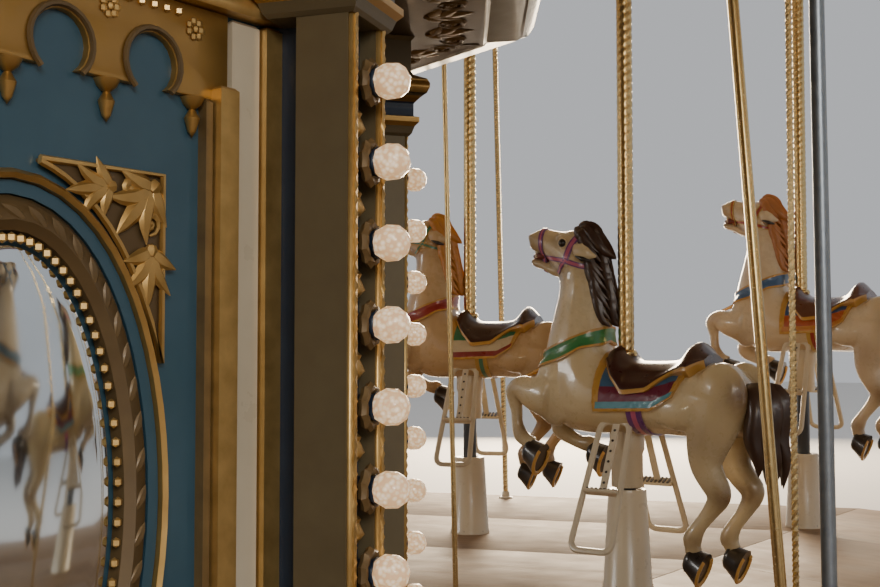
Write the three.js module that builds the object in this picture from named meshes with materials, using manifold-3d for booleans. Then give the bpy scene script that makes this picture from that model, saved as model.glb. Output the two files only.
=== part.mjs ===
// A fairground carousel with thirty leaping horses in three rows, at its real size.
// Millimetres, +Z up. The origin is on the ground, on the axis that the ride turns about.
// The centre base and the mast stand still. Everything else hangs from the sweeps and turns,
// and every horse slides up and down with its pole in a sleeve on the deck.
import * as THREE from 'three';
import { mergeVertices } from 'three/addons/utils/BufferGeometryUtils.js';
import Module from 'manifold-3d';

const wasm = await Module();
wasm.setup();

// Driving dimensions
const FIT = 0.3;                     // gap between pieces that rest on each other
const LAP = 20;                      // how far shapes of one piece run into each other
const SIDES = 10;                    // sections of the ride
const STEP = 360 / SIDES;            // degrees from one section to the next
const DECK_CORNER = 90;              // direction of a corner of the deck and canopy, degrees
const SWEEP_ANGLE = 73;              // direction of a sweep and its hanger rods
const COLUMN_ANGLE = 17;             // direction of a column of the centre housing
const APOTHEM = Math.cos(Math.PI / SIDES);

const DECK_TOP = 330;                // deck above the ground
const DECK_THICK = 40;
const DECK_HALF = 4970;              // from the axis to the middle of a deck side
const DECK_HOLE = 500;
const DECK_JOINTS = [3300, 4130];    // where the three deck rings meet
const SKIRT = { thick: 30, bottom: 60 };
const FRAME = { depth: 100, beam: 90, eye: 80, rim: 80 };

const ROWS = [
  { name: 'inner', radius: 2880, angle: 90, lifts: [0, 190, 60, 240, 120] },
  { name: 'middle', radius: 3700, angle: 106.5, lifts: [150, 30, 215, 90, 240] },
  { name: 'outer', radius: 4500, angle: 90, lifts: [255, 75, 165, 20, 205] },
];

const SLEEVE = { height: 306, top: 57, base: 79, sides: 6 };
const ROD_RADIUS = 27;               // pole, and the rod below the horse that runs in the sleeve
const ROD_PLAY = 0.6;
const ROD_FOOT = 4;                  // lowest point of the rod above the deck
const POLE_TOP = 2790;               // above the deck, with the horse at its lowest

// Hanger rods that carry the deck. Each rod has a distance from the axis and an offset along the
// ride, at its foot and at its top. The rods in the aisle stand at every other sweep.
const HANGER_RINGS = [
  { name: 'aisle_hangers', inner: 1538, outer: 1612,
    rods: [{ radius: 10, foot: [1575, -30], top: [1575, 30], every: 2, from: 1 }] },
  { name: 'inner_hangers', inner: 2365, outer: 2490,
    rods: [{ radius: 11, foot: [2465, 0], top: [2465, 0] },
      { radius: 16, foot: [2440, 12], top: [2400, 205] },
      { radius: 9, foot: [2383, -476], top: [2396, -412] }] },
  { name: 'outer_hangers', inner: 4818, outer: 4888,
    rods: [{ radius: 14, foot: [4860, -30], top: [4860, 30] }] },
];
const HANGER_RING_THICK = 70;
const HANGER_SIDES = 4;

const WALL = { inner: 880, outer: 930 };
const PLINTH = { inner: 860, outer: 1040, height: 130 };
const COLUMN = { width: 88, inner: 1022, outer: 1081 };
const NECK = { width: 40, inner: 980 };              // web between the wall and a column
const FRIEZE_THICK = 45;
const CAPITAL = { width: 140, inner: 980, outer: 1107, bottom: 1056, top: 1205 };
const MIRROR = { halfWidth: 162, halfHeight: 272, centre: 612, proud: 25, sides: 10 };
// The flared crown over the columns. Each point is a distance from the axis with a height above
// the foot of the crown, or a depth below its top.
const CROWN = {
  top: 1800,
  rising: [[1070, 0], [1152, 9], [1202, 17], [1232, 35], [1232, 51], [1213, 59], [1230, 235]],
  upper: [[1340, 90], [1370, 60], [1370, 0]],
};

const SWEEP = { bottom: 2660, height: 150, width: 90, reach: 5140, rim: 80 };
const CEILING = { thick: 30, inner: 2510, outer: 4812 };
const POLE_SLOT = 80;                // half width of the slot that a row's poles pass through
const HUB = { bore: 150, outer: 360, sides: 12 };
const MAST = { radius: 140, flange: 260, flangeThick: 40, proud: 60, sides: 12 };
const SILL = { reach: 3200, width: 170, height: 110, block: 460 };
const PEDESTAL = { radius: 420, top: 260 };

const BOARD = { outer: 5185, lip: 5240, bottom: 2640, top: 3150, lipDepth: 20, coveDepth: 70 };
const ROOF = { eave: 5290, eaveFlat: 140, knee: 2900, kneeRise: 560, peak: 380, rise: 1330, thick: 32 };
const FINIAL = {
  radius: 150,
  height: 420,
  sides: 8,
  profile: [[0, 0], [1.3, 0], [0.5, 0.2], [1, 0.45], [0.55, 0.7], [0, 1]],   // shares of both
};

const material = (colour, roughness, metalness) =>
  new THREE.MeshStandardMaterial({ color: colour, roughness, metalness });

const PAINT = {
  ivory: material('#e9dcc0', 0.25, 0),
  cream: material('#d9cbb0', 0.3, 0),
  deck: material('#a98f70', 0.6, 0),
  steel: material('#4d5560', 0.45, 0.7),
  navy: material('#1f3346', 0.5, 0),
  gold: material('#a8812f', 0.35, 0.6),
  brass: material('#b8934a', 0.3, 0.9),
  red: material('#8c2326', 0.5, 0),
};

// Solids

const radians = (degrees) => (degrees * Math.PI) / 180;

function solid(geometry) {
  const bare = geometry.index ? geometry.toNonIndexed() : geometry.clone();
  bare.deleteAttribute('normal');
  bare.deleteAttribute('uv');
  const merged = mergeVertices(bare, 1e-4);
  return new wasm.Manifold(new wasm.Mesh({
    numProp: 3,
    vertProperties: new Float32Array(merged.attributes.position.array),
    triVerts: new Uint32Array(merged.index.array),
  }));
}

function geometryOf(manifold) {
  const { vertProperties, triVerts } = manifold.getMesh();
  const geometry = new THREE.BufferGeometry();
  geometry.setAttribute('position', new THREE.BufferAttribute(new Float32Array(vertProperties), 3));
  geometry.setIndex(new THREE.BufferAttribute(new Uint32Array(triVerts), 1));
  return geometry;
}

const join = (geometries) => geometries.map(solid).reduce((whole, piece) => whole.add(piece));

// A closed skin over rings of points, each ring with the same number of points.
function skin(rings) {
  const count = rings[0].length;
  const triangles = [];
  const face = (a, b, c) => triangles.push(a, b, c);
  for (let ring = 0; ring + 1 < rings.length; ring += 1) {
    for (let side = 0; side < count; side += 1) {
      const next = (side + 1) % count;
      const [a, b] = [rings[ring][side], rings[ring][next]];
      const [c, d] = [rings[ring + 1][side], rings[ring + 1][next]];
      face(a, b, d);
      face(a, d, c);
    }
  }
  const last = rings[rings.length - 1];
  for (let side = 1; side + 1 < count; side += 1) {
    face(rings[0][0], rings[0][side + 1], rings[0][side]);
    face(last[0], last[side], last[side + 1]);
  }
  return new THREE.BufferGeometry().setFromPoints(triangles);
}

function box(x, y, z) {
  const [width, depth, height] = [x, y, z].map(([low, high]) => high - low);
  return new THREE.BoxGeometry(width, depth, height)
    .translate(...[x, y, z].map(([low, high]) => (low + high) / 2));
}

// A prism of regular section that stands on bottom, with a corner in the direction +X.
function post(radius, bottom, top, sides, radiusTop = radius) {
  return new THREE.CylinderGeometry(radiusTop, radius, top - bottom, sides)
    .rotateX(Math.PI / 2)
    .rotateZ(Math.PI / 2)
    .translate(0, 0, (bottom + top) / 2);
}

// A rod that leans from foot to top, [x, y] each, with level ends.
function leaningRod(foot, top, low, high, radius, sides) {
  const [slopeX, slopeY] = [0, 1].map((axis) => (top[axis] - foot[axis]) / (high - low));
  const lean = new THREE.Matrix4().set(
    1, 0, slopeX, foot[0] - slopeX * low,
    0, 1, slopeY, foot[1] - slopeY * low,
    0, 0, 1, 0,
    0, 0, 0, 1);
  return post(radius, low, high, sides).applyMatrix4(lean);
}

// A ring with straight sides: its profile is [distance to the middle of a side, height].
function sidedRing(profile, corner) {
  const points = profile.map(([half, height]) => new THREE.Vector2(half / APOTHEM, height));
  if (points[0].x > 0) points.push(points[0].clone());
  return new THREE.LatheGeometry(points, SIDES)
    .rotateX(Math.PI / 2)
    .rotateZ(radians(corner + 90));
}

const flatRing = (inner, outer, bottom, top, corner) =>
  sidedRing([[inner, bottom], [outer, bottom], [outer, top], [inner, top]], corner);

const around = (angle) => Array.from({ length: SIDES }, (_, index) => angle + index * STEP);

const turned = (geometry, angle) => geometry.clone().rotateZ(radians(angle));

// One horse, heading along +X, with the pole on the origin and the deck at height 0.
// It is drawn at its lowest place.

// The trunk, neck and head: points along the back and along the belly, and half the width.
const HORSE_BODY = [
  { back: [-462, 655], belly: [-468, 570], half: 40 },
  { back: [-395, 706], belly: [-405, 480], half: 122 },
  { back: [-350, 768], belly: [-330, 474], half: 136 },
  { back: [-235, 704], belly: [-120, 484], half: 134 },
  { back: [30, 722], belly: [110, 476], half: 132 },
  { back: [38, 800], belly: [262, 540], half: 112 },
  { back: [62, 890], belly: [290, 690], half: 82 },
  { back: [95, 1010], belly: [232, 870], half: 54 },
  { back: [150, 1138], belly: [250, 975], half: 50 },
  { back: [328, 1122], belly: [336, 1042], half: 32 },
];

// Each leg and the tail: centre line points, half thickness, and half width across the horse.
const HORSE_LIMBS = [
  { side: 70, line: [[235, 575, 50, 40], [372, 634, 34, 30], [336, 452, 25, 24], [286, 402, 40, 34]] },
  { side: -70, line: [[232, 560, 50, 40], [284, 478, 34, 30], [196, 428, 25, 24], [142, 404, 40, 34]] },
  { side: 76, line: [[-352, 560, 95, 50], [-426, 304, 36, 30], [-262, 166, 28, 26], [-296, 78, 42, 36]] },
  { side: -76, line: [[-362, 560, 95, 50], [-440, 300, 36, 30], [-276, 162, 28, 26], [-310, 76, 42, 36]] },
  { side: 0, line: [[-440, 640, 40, 38], [-506, 520, 50, 44], [-516, 330, 30, 26]] },
];

const BOSS = { radius: 48, radiusTop: 64, bottom: 312, top: 500 };
const STIRRUP = {
  top: [84, 535],                    // sideways from the pole, and height
  bottom: [272, 145],
  thick: 22,
  bar: 24,
  wide: [-84, 60],
  narrow: [-62, 38],
};
const FLANK = { height: 0.45, belly: 0.5 };   // where the trunk is widest, and its width at the belly
const CALF = 0.6;                              // flat back of a limb, as a share of its thickness

function bodyRing({ back, belly, half }) {
  const at = (share, side) => new THREE.Vector3(
    back[0] + (belly[0] - back[0]) * share, side, back[1] + (belly[1] - back[1]) * share);
  const low = half * FLANK.belly;
  return [at(0, 0), at(FLANK.height, -half), at(1, -low), at(1, low), at(FLANK.height, half)];
}

function limb({ side, line }) {
  const centres = line.map(([x, z]) => new THREE.Vector3(x, side, z));
  const rings = line.map(([, , thick, half], index) => {
    const before = centres[Math.max(index - 1, 0)];
    const after = centres[Math.min(index + 1, line.length - 1)];
    const along = after.clone().sub(before).normalize();
    const across = new THREE.Vector3(0, 1, 0);
    const normal = new THREE.Vector3().crossVectors(across, along);
    const point = (a, b) => centres[index].clone()
      .addScaledVector(across, a * half)
      .addScaledVector(normal, b * thick);
    return [point(1, -CALF), point(-1, -CALF), point(0, 1)];
  });
  return skin(rings);
}

function stirrup(hand) {
  const [topSide, topHeight] = STIRRUP.top;
  const [lowSide, lowHeight] = STIRRUP.bottom;
  const drop = Math.hypot(lowSide - topSide, topHeight - lowHeight);
  const edge = (index, share) =>
    STIRRUP.narrow[index] + (STIRRUP.wide[index] - STIRRUP.narrow[index]) * share;
  const quad = (from, to, inset) => [
    [edge(0, from) + inset, -from * drop],
    [edge(0, to) + inset, -to * drop],
    [edge(1, to) - inset, -to * drop],
    [edge(1, from) - inset, -from * drop],
  ].map(([x, y]) => new THREE.Vector2(x, y));
  const bar = STIRRUP.bar / drop;
  const shape = new THREE.Shape(quad(0, 1, 0));
  shape.holes.push(new THREE.Path(quad(bar * 2, 1 - bar, STIRRUP.bar)));
  const lean = Math.atan2(lowSide - topSide, topHeight - lowHeight);
  return new THREE.ExtrudeGeometry(shape, { depth: STIRRUP.thick, bevelEnabled: false })
    .translate(0, 0, -STIRRUP.thick / 2)
    .rotateX(Math.PI / 2 + hand * lean)
    .translate(0, hand * topSide, topHeight);
}

const horse = join([
  skin(HORSE_BODY.map(bodyRing)),
  ...HORSE_LIMBS.map(limb),
  post(BOSS.radius, BOSS.bottom, BOSS.top, SLEEVE.sides, BOSS.radiusTop),
  post(ROD_RADIUS, ROD_FOOT, POLE_TOP, SLEEVE.sides),
  stirrup(1),
  stirrup(-1),
]);

// Deck

function deckRing(row, inner, outer) {
  const plate = flatRing(inner, outer, DECK_TOP - DECK_THICK, DECK_TOP, DECK_CORNER);
  const bore = ROD_RADIUS + ROD_PLAY;
  const sunk = -DECK_THICK / 2;
  const profile = [[bore, sunk], [SLEEVE.base, sunk], [SLEEVE.top, SLEEVE.height],
    [bore, SLEEVE.height], [bore, sunk]];
  const sleeve = new THREE.LatheGeometry(profile.map(([x, y]) => new THREE.Vector2(x, y)), SLEEVE.sides)
    .rotateX(Math.PI / 2)
    .translate(row.radius, 0, DECK_TOP);
  return join([plate, ...around(row.angle).map((angle) => turned(sleeve, angle))]);
}

function deckFrame() {
  const top = DECK_TOP - DECK_THICK - FIT;
  const bottom = top - FRAME.depth;
  const eye = DECK_HOLE - LAP;
  const beam = box([DECK_HOLE, DECK_HALF - FRAME.rim + LAP], [-FRAME.beam / 2, FRAME.beam / 2],
    [bottom, top]);
  return join([
    flatRing(eye, eye + FRAME.eye, bottom, top, DECK_CORNER),
    flatRing(DECK_HALF - FRAME.rim, DECK_HALF, bottom, top, DECK_CORNER),
    ...around(SWEEP_ANGLE).map((angle) => turned(beam, angle)),
  ]);
}

// Centre housing

function mirrorPanels() {
  const bottom = DECK_TOP + PLINTH.height + 2 * FIT;
  const wall = flatRing(WALL.inner, WALL.outer, bottom, DECK_TOP + CAPITAL.top, COLUMN_ANGLE);
  const frame = new THREE.CylinderGeometry(1, 1, MIRROR.proud * 2, MIRROR.sides)
    .rotateZ(Math.PI / 2)
    .scale(1, MIRROR.halfWidth, MIRROR.halfHeight)
    .translate(WALL.outer, 0, DECK_TOP + MIRROR.centre);
  return join([wall, ...around(COLUMN_ANGLE + STEP / 2).map((angle) => turned(frame, angle))]);
}

function columnRing() {
  const bottom = DECK_TOP + PLINTH.height + 2 * FIT;
  const columnTop = DECK_TOP + CAPITAL.bottom;
  const top = DECK_TOP + CAPITAL.top;
  const column = box([COLUMN.inner, COLUMN.outer], [-COLUMN.width / 2, COLUMN.width / 2],
    [bottom, columnTop + LAP]);
  const neck = box([NECK.inner, COLUMN.inner + LAP], [-NECK.width / 2, NECK.width / 2],
    [bottom, columnTop + LAP]);
  const capital = box([CAPITAL.inner, CAPITAL.outer], [-CAPITAL.width / 2, CAPITAL.width / 2],
    [columnTop, top]);
  const frieze = flatRing(WALL.outer + FIT, WALL.outer + FRIEZE_THICK, columnTop, top,
    COLUMN_ANGLE);
  return join([
    frieze,
    ...[column, neck, capital].flatMap((shape) =>
      around(COLUMN_ANGLE).map((angle) => turned(shape, angle))),
  ]);
}

function crown() {
  const bottom = DECK_TOP + CAPITAL.top + FIT;
  const top = DECK_TOP + CROWN.top;
  return sidedRing([
    [WALL.inner, bottom],
    ...CROWN.rising.map(([half, height]) => [half, bottom + height]),
    ...CROWN.upper.map(([half, depth]) => [half, top - depth]),
    [WALL.inner, top],
  ], COLUMN_ANGLE);
}

// Sweeps, hanger rods and ceiling

const SWEEP_BOTTOM = DECK_TOP + SWEEP.bottom;
const SWEEP_TOP = SWEEP_BOTTOM + SWEEP.height;

function sweeps() {
  const beam = box([HUB.outer / 2, SWEEP.reach - SWEEP.rim + LAP],
    [-SWEEP.width / 2, SWEEP.width / 2], [SWEEP_BOTTOM, SWEEP_TOP]);
  const whole = join([
    post(HUB.outer, SWEEP_BOTTOM, SWEEP_TOP, HUB.sides),
    flatRing(SWEEP.reach - SWEEP.rim, SWEEP.reach, SWEEP_BOTTOM, SWEEP_TOP, DECK_CORNER),
    ...around(SWEEP_ANGLE).map((angle) => turned(beam, angle)),
  ]);
  return whole.subtract(solid(post(HUB.bore, SWEEP_BOTTOM - LAP, SWEEP_TOP + LAP, HUB.sides)));
}

function hangers({ inner, outer, rods }) {
  const top = SWEEP_BOTTOM - FIT;
  const low = DECK_TOP + FIT;
  const shapes = rods.flatMap(({ radius, foot, top: head, every = 1, from = 0 }) => {
    const rod = leaningRod(foot, head, low, top - HANGER_RING_THICK / 2, radius, HANGER_SIDES);
    return around(SWEEP_ANGLE)
      .filter((angle, index) => index % every === from)
      .map((angle) => turned(rod, angle));
  });
  return join([
    flatRing(inner, outer, top - HANGER_RING_THICK, top, DECK_CORNER),
    ...shapes,
  ]);
}

// Each row's poles pass through a slot between two ceiling rings.
function ceiling() {
  const top = SWEEP_BOTTOM - FIT;
  const slots = ROWS.map(({ radius, angle }) =>
    (angle === DECK_CORNER ? radius * APOTHEM : radius));
  const edges = [CEILING.inner, ...slots.flatMap((at) => [at - POLE_SLOT, at + POLE_SLOT]),
    CEILING.outer];
  return [0, 2, 4, 6].map((index) =>
    flatRing(edges[index], edges[index + 1], top - CEILING.thick, top, DECK_CORNER));
}

// Canopy

function roundingBoards() {
  const [bottom, top] = [DECK_TOP + BOARD.bottom, DECK_TOP + BOARD.top];
  const inner = SWEEP.reach + FIT;
  return sidedRing([[inner, bottom], [BOARD.outer, bottom], [BOARD.outer, top - BOARD.coveDepth],
    [BOARD.lip, top - BOARD.lipDepth], [BOARD.lip, top], [inner, top]], DECK_CORNER);
}

function roof() {
  const eave = DECK_TOP + BOARD.top + FIT;
  return sidedRing([
    [0, eave + ROOF.rise - ROOF.thick],
    [ROOF.peak, eave + ROOF.rise - ROOF.thick],
    [ROOF.knee - ROOF.thick, eave + ROOF.kneeRise - ROOF.thick],
    [ROOF.eave - ROOF.eaveFlat, eave],
    [ROOF.eave, eave],
    [ROOF.eave, eave + ROOF.thick],
    [ROOF.knee, eave + ROOF.kneeRise],
    [ROOF.peak, eave + ROOF.rise],
    [0, eave + ROOF.rise],
  ], DECK_CORNER);
}

function finial() {
  const base = DECK_TOP + BOARD.top + 2 * FIT + ROOF.rise;
  const outline = FINIAL.profile.map(([across, up]) =>
    new THREE.Vector2(across * FINIAL.radius, up * FINIAL.height));
  return new THREE.LatheGeometry(outline, FINIAL.sides)
    .rotateX(Math.PI / 2)
    .translate(0, 0, base);
}

// Fixed base and mast

function groundSills() {
  const arm = box([0, SILL.reach], [-SILL.width / 2, SILL.width / 2], [0, SILL.height]);
  return join([
    post(SILL.block, 0, SILL.height, SIDES),
    ...around(SWEEP_ANGLE).map((angle) => turned(arm, angle)),
  ]);
}

function mast() {
  const base = SILL.height + FIT;
  const seat = SWEEP_BOTTOM - FIT;
  return join([
    post(PEDESTAL.radius, base, PEDESTAL.top, MAST.sides),
    post(MAST.radius, base, SWEEP_TOP + MAST.proud, MAST.sides),
    post(MAST.flange, seat - MAST.flangeThick, seat, MAST.sides),
  ]);
}

// The whole ride

const ride = new THREE.Group();

function add(name, finish, shape) {
  const geometry = shape.isBufferGeometry ? geometryOf(solid(shape)) : geometryOf(shape);
  const mesh = new THREE.Mesh(geometry, finish);
  mesh.name = name;
  ride.add(mesh);
  return mesh;
}

add('ground_sills', PAINT.steel, groundSills());
add('mast', PAINT.steel, mast());

const [innerJoint, outerJoint] = DECK_JOINTS;
add('inner_deck', PAINT.deck, deckRing(ROWS[0], DECK_HOLE, innerJoint - FIT));
add('middle_deck', PAINT.deck, deckRing(ROWS[1], innerJoint, outerJoint - FIT));
add('outer_deck', PAINT.deck, deckRing(ROWS[2], outerJoint, DECK_HALF));
add('deck_frame', PAINT.steel, deckFrame());
add('rim_skirt', PAINT.red, flatRing(DECK_HALF + FIT, DECK_HALF + SKIRT.thick, SKIRT.bottom,
  DECK_TOP, DECK_CORNER));

add('plinth_ring', PAINT.navy, flatRing(PLINTH.inner, PLINTH.outer, DECK_TOP + FIT,
  DECK_TOP + FIT + PLINTH.height, COLUMN_ANGLE));
add('mirror_panels', PAINT.navy, mirrorPanels());
add('column_ring', PAINT.gold, columnRing());
add('crown_board', PAINT.gold, crown());
add('upper_drum', PAINT.navy, flatRing(WALL.inner, WALL.outer, DECK_TOP + CROWN.top + FIT,
  SWEEP_BOTTOM - FIT, COLUMN_ANGLE));

add('sweeps', PAINT.steel, sweeps());
HANGER_RINGS.forEach((ring) => add(ring.name, PAINT.brass, hangers(ring)));
ceiling().forEach((ring, index) => add(`ceiling_ring_${index + 1}`, PAINT.cream, ring));
add('rounding_boards', PAINT.red, roundingBoards());
add('canopy_roof', PAINT.cream, roof());
add('finial', PAINT.gold, finial());

for (const { name, radius, angle: first, lifts } of ROWS) {
  around(first).forEach((angle, index) => {
    const shape = new THREE.Mesh(geometryOf(horse), PAINT.ivory);
    shape.name = `${name}_horse_${index + 1}`;
    shape.position.set(radius * Math.cos(radians(angle)), radius * Math.sin(radians(angle)),
      DECK_TOP + lifts[index % lifts.length]);
    shape.rotation.z = radians(angle + 90);
    ride.add(shape);
  });
}

export default ride;
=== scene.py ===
# %% [markdown]
# A fairground carousel, dressed for a close look.
# The imported model gives every piece its place and its motion. This lesson gives each piece its
# fine shape and its finish: carved horses, twisted brass, lamp columns, planks and a striped roof.
# The frame is loaded first.

# %% Load the frame
import random
from math import atan2, cos, degrees, exp, hypot, pi, radians, sin, sqrt, tan

import bmesh
import bpy
import numpy as np
from mathutils import Matrix, Vector
from mathutils.bvhtree import BVHTree


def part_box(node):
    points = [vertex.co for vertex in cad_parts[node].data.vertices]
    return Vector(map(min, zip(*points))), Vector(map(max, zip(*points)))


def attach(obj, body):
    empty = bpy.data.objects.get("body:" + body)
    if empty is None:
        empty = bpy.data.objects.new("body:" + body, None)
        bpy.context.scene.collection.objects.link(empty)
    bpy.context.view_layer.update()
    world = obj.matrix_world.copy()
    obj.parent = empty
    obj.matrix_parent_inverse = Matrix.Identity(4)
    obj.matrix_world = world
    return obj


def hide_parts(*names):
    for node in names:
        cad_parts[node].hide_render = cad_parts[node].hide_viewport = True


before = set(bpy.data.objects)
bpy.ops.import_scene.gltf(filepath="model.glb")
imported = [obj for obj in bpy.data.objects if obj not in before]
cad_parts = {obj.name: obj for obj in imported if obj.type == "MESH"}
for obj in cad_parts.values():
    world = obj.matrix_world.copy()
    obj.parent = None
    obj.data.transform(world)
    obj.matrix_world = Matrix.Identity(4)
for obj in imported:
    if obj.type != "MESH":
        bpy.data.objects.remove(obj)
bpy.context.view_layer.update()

# %% [markdown]
# The ride is ten-sided, so most pieces are made once and then turned nine times.
# The sizes that several pieces share get a name here, in metres. Heights of the housing are
# above the deck, because that is how a builder would measure them on the ride.

# %% Shared sizes
SECTIONS = 10
STEP = 360 / SECTIONS
APOTHEM = cos(pi / SECTIONS)
SLOPE = tan(pi / SECTIONS)
DECK_CORNER = 90
DECK_SIDE = DECK_CORNER + STEP / 2
SWEEP_ANGLE = 73
COLUMN_ANGLE = 17
COLUMN_SIDE = COLUMN_ANGLE + STEP / 2
DECK_TOP = 0.33
DECK_HALF = 4.97
POLE_RADIUS = 0.0255
ROD_FOOT = 0.004
MITRE = 0.0001
ROWS = {"inner": (2.88, 90), "middle": (3.70, 106.5), "outer": (4.50, 90)}


def around(angle):
    return [angle + index * STEP for index in range(SECTIONS)]


def full_turn(count):
    """The angles of points that stand evenly round a circle, in radians."""
    return 2 * pi * np.arange(count) / count


print("sections:", SECTIONS, "of", STEP, "degrees")

# %% [markdown]
# The camera stands over the deck inside the inner row, beside the centre housing, and looks
# along the ride. It is placed from the lines of the photograph: the horizon gives the tilt, and
# the poles and lamps give the place. Depth of field stays off. An object shows only when it is
# linked to the scene, so one function makes and links it, here and in every later cell.

# %% Camera
EYE = Vector((1.77, -0.595, 1.07))
HEADING = radians(35.65)
TILT = radians(2.65)


def linked(name, data):
    made = bpy.data.objects.new(name, data)
    bpy.context.scene.collection.objects.link(made)
    return made


lens = bpy.data.cameras.new("camera")
lens.lens = 50
lens.sensor_width = 36
lens.clip_start = 0.02
camera = linked("camera", lens)
camera.location = EYE
camera.rotation_euler = (radians(90) + TILT, 0, HEADING)
bpy.context.scene.camera = camera
print("camera at", [round(value, 2) for value in EYE])

# %% [markdown]
# Small forms join into big ones, so a light class carries points, faces and the number of each
# face's finish. Blender's own primitives would work too, but hundreds of operator calls are slow,
# and plain arrays can be turned, copied and joined in a moment.

# %% Forms
AXIS_GAP = 1e-5


class Form:
    def __init__(self, points=(), faces=(), finish=0):
        self.points = np.array(points, float).reshape(-1, 3)
        self.faces = [tuple(face) for face in faces]
        self.finishes = [finish] * len(self.faces)

    def copied(self, points):
        form = Form(points)
        form.faces = self.faces
        form.finishes = self.finishes
        return form

    def moved(self, x=0.0, y=0.0, z=0.0):
        return self.copied(self.points + (x, y, z))

    def scaled(self, x, y, z):
        return self.copied(self.points * (x, y, z))

    def placed(self, matrix):
        turn = np.array(matrix.to_3x3())
        return self.copied(self.points @ turn.T + np.array(matrix.translation))

    def turned(self, degrees, axis="Z"):
        return self.placed(Matrix.Rotation(radians(degrees), 4, axis))


def join(forms):
    whole = Form()
    points, start = [], 0
    for form in forms:
        points.append(form.points)
        whole.faces += [tuple(corner + start for corner in face) for face in form.faces]
        whole.finishes += form.finishes
        start += len(form.points)
    whole.points = np.concatenate(points) if points else whole.points
    return whole


def ring_of(form, angle):
    return join([form.turned(place) for place in around(angle)])


def both_sides(form):
    return join([form, form.scaled(1, -1, 1)])


print("one form of each piece is turned to", SECTIONS, "places")

# %% [markdown]
# Every curved shape here is a skin over rings of points. A lathe turns a profile into rings, a
# tube sends them along a path, and a sided ring runs a moulding round the ten-sided housing.

# %% Skins
def skin(rings, looped=False, capped=True, finish=0):
    rings = [np.array(ring, float).reshape(-1, 3) for ring in rings]
    count, size = len(rings), len(rings[0])
    faces = []
    for row in range(count if looped else count - 1):
        low, high = row * size, (row + 1) % count * size
        for side in range(size):
            after = (side + 1) % size
            faces.append((low + side, low + after, high + after, high + side))
    if capped and not looped:
        faces.append(tuple(range(size))[::-1])
        faces.append(tuple(range((count - 1) * size, count * size)))
    return Form(np.concatenate(rings), faces, finish)


def lathe(profile, sides=24, finish=0, looped=False):
    rings = [[(max(r, AXIS_GAP) * cos(t), max(r, AXIS_GAP) * sin(t), z)
              for t in full_turn(sides)] for r, z in profile]
    return skin(rings, looped, not looped, finish)


def scalloped(form, waves, depth):
    """The same form with its outline waved in and out round the Z axis."""
    ripple = 1 + depth * np.cos(waves * np.arctan2(form.points[:, 1], form.points[:, 0]))
    return form.copied(form.points * np.column_stack([ripple, ripple, ripple ** 0]))


def sided_ring(profile, corner, finish=0):
    """Ten straight boards that meet in hairline mitres, so that every corner stays crisp."""
    ends = [[(out, side * (out * SLOPE - MITRE), height) for out, height in profile]
            for side in (-1, 1)]
    return ring_of(skin(ends, finish=finish), corner + STEP / 2)


def square_band(low, high, finish=0):
    """One square step of a moulding, between two pairs of half width and height."""
    rings = [[(half * x, half * y, height) for x, y in ((-1, -1), (1, -1), (1, 1), (-1, 1))]
             for half, height in (low, high)]
    return skin(rings, finish=finish)


def box(x, y, z, bevel=0.0, finish=0):
    def outline(height, inset):
        return [(x[0] + inset, y[0] + inset, height), (x[1] - inset, y[0] + inset, height),
                (x[1] - inset, y[1] - inset, height), (x[0] + inset, y[1] - inset, height)]
    rings = [outline(z[0], bevel), outline(z[0] + bevel, 0),
             outline(z[1] - bevel, 0), outline(z[1], bevel)]
    return skin(rings if bevel else [rings[1], rings[2]], finish=finish)


def ball(radius, sides=10, rows=6, finish=0):
    profile = [(radius * sin(pi * row / rows), -radius * cos(pi * row / rows))
               for row in range(rows + 1)]
    return lathe(profile, sides, finish)


def smooth_line(points, steps=6):
    points = np.array(points, float)
    padded = np.vstack([2 * points[0] - points[1], points, 2 * points[-1] - points[-2]])
    line = []
    for index in range(len(points) - 1):
        a, b, c, d = padded[index:index + 4]
        for t in np.arange(steps) / steps:
            line.append(0.5 * (2 * b + (c - a) * t + (2 * a - 5 * b + 4 * c - d) * t ** 2
                               + (3 * b - a - 3 * c + d) * t ** 3))
    return np.array(line + [points[-1]])


def tube(path, radii, sides=8, flat=1.0, looped=False, up=(0, 0, 1), finish=0):
    path = np.array(path, float)
    radii = np.broadcast_to(np.array(radii, float), len(path))
    rings = []
    for index, centre in enumerate(path):
        before = path[index - 1] if looped or index else path[0]
        after = path[(index + 1) % len(path)] if looped else path[min(index + 1, len(path) - 1)]
        along = Vector(after - before).normalized()
        across = along.cross(Vector(up))
        across = across.normalized() if across.length > 1e-4 else along.orthogonal().normalized()
        normal = across.cross(along)
        rings.append([centre + radii[index] * (np.array(across) * cos(t)
                      + flat * np.array(normal) * sin(t))
                      for t in full_turn(sides)])
    return skin(rings, looped, finish=finish)


print("a ball has", len(ball(1.0).faces), "faces")

# %% [markdown]
# Flat fretwork, such as arches and leaves, starts as a drawn outline. A two-dimensional curve
# fills it, cuts its holes and rounds its edge in one go, which a row of extruded faces wouldn't.

# %% Plates and objects
def solved(holder):
    """The mesh that an object's curve or modifiers work out to."""
    graph = bpy.context.evaluated_depsgraph_get()
    return bpy.data.meshes.new_from_object(holder.evaluated_get(graph))


def form_of(mesh, finish=0):
    return Form([vertex.co for vertex in mesh.vertices],
                [face.vertices for face in mesh.polygons], finish)


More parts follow.
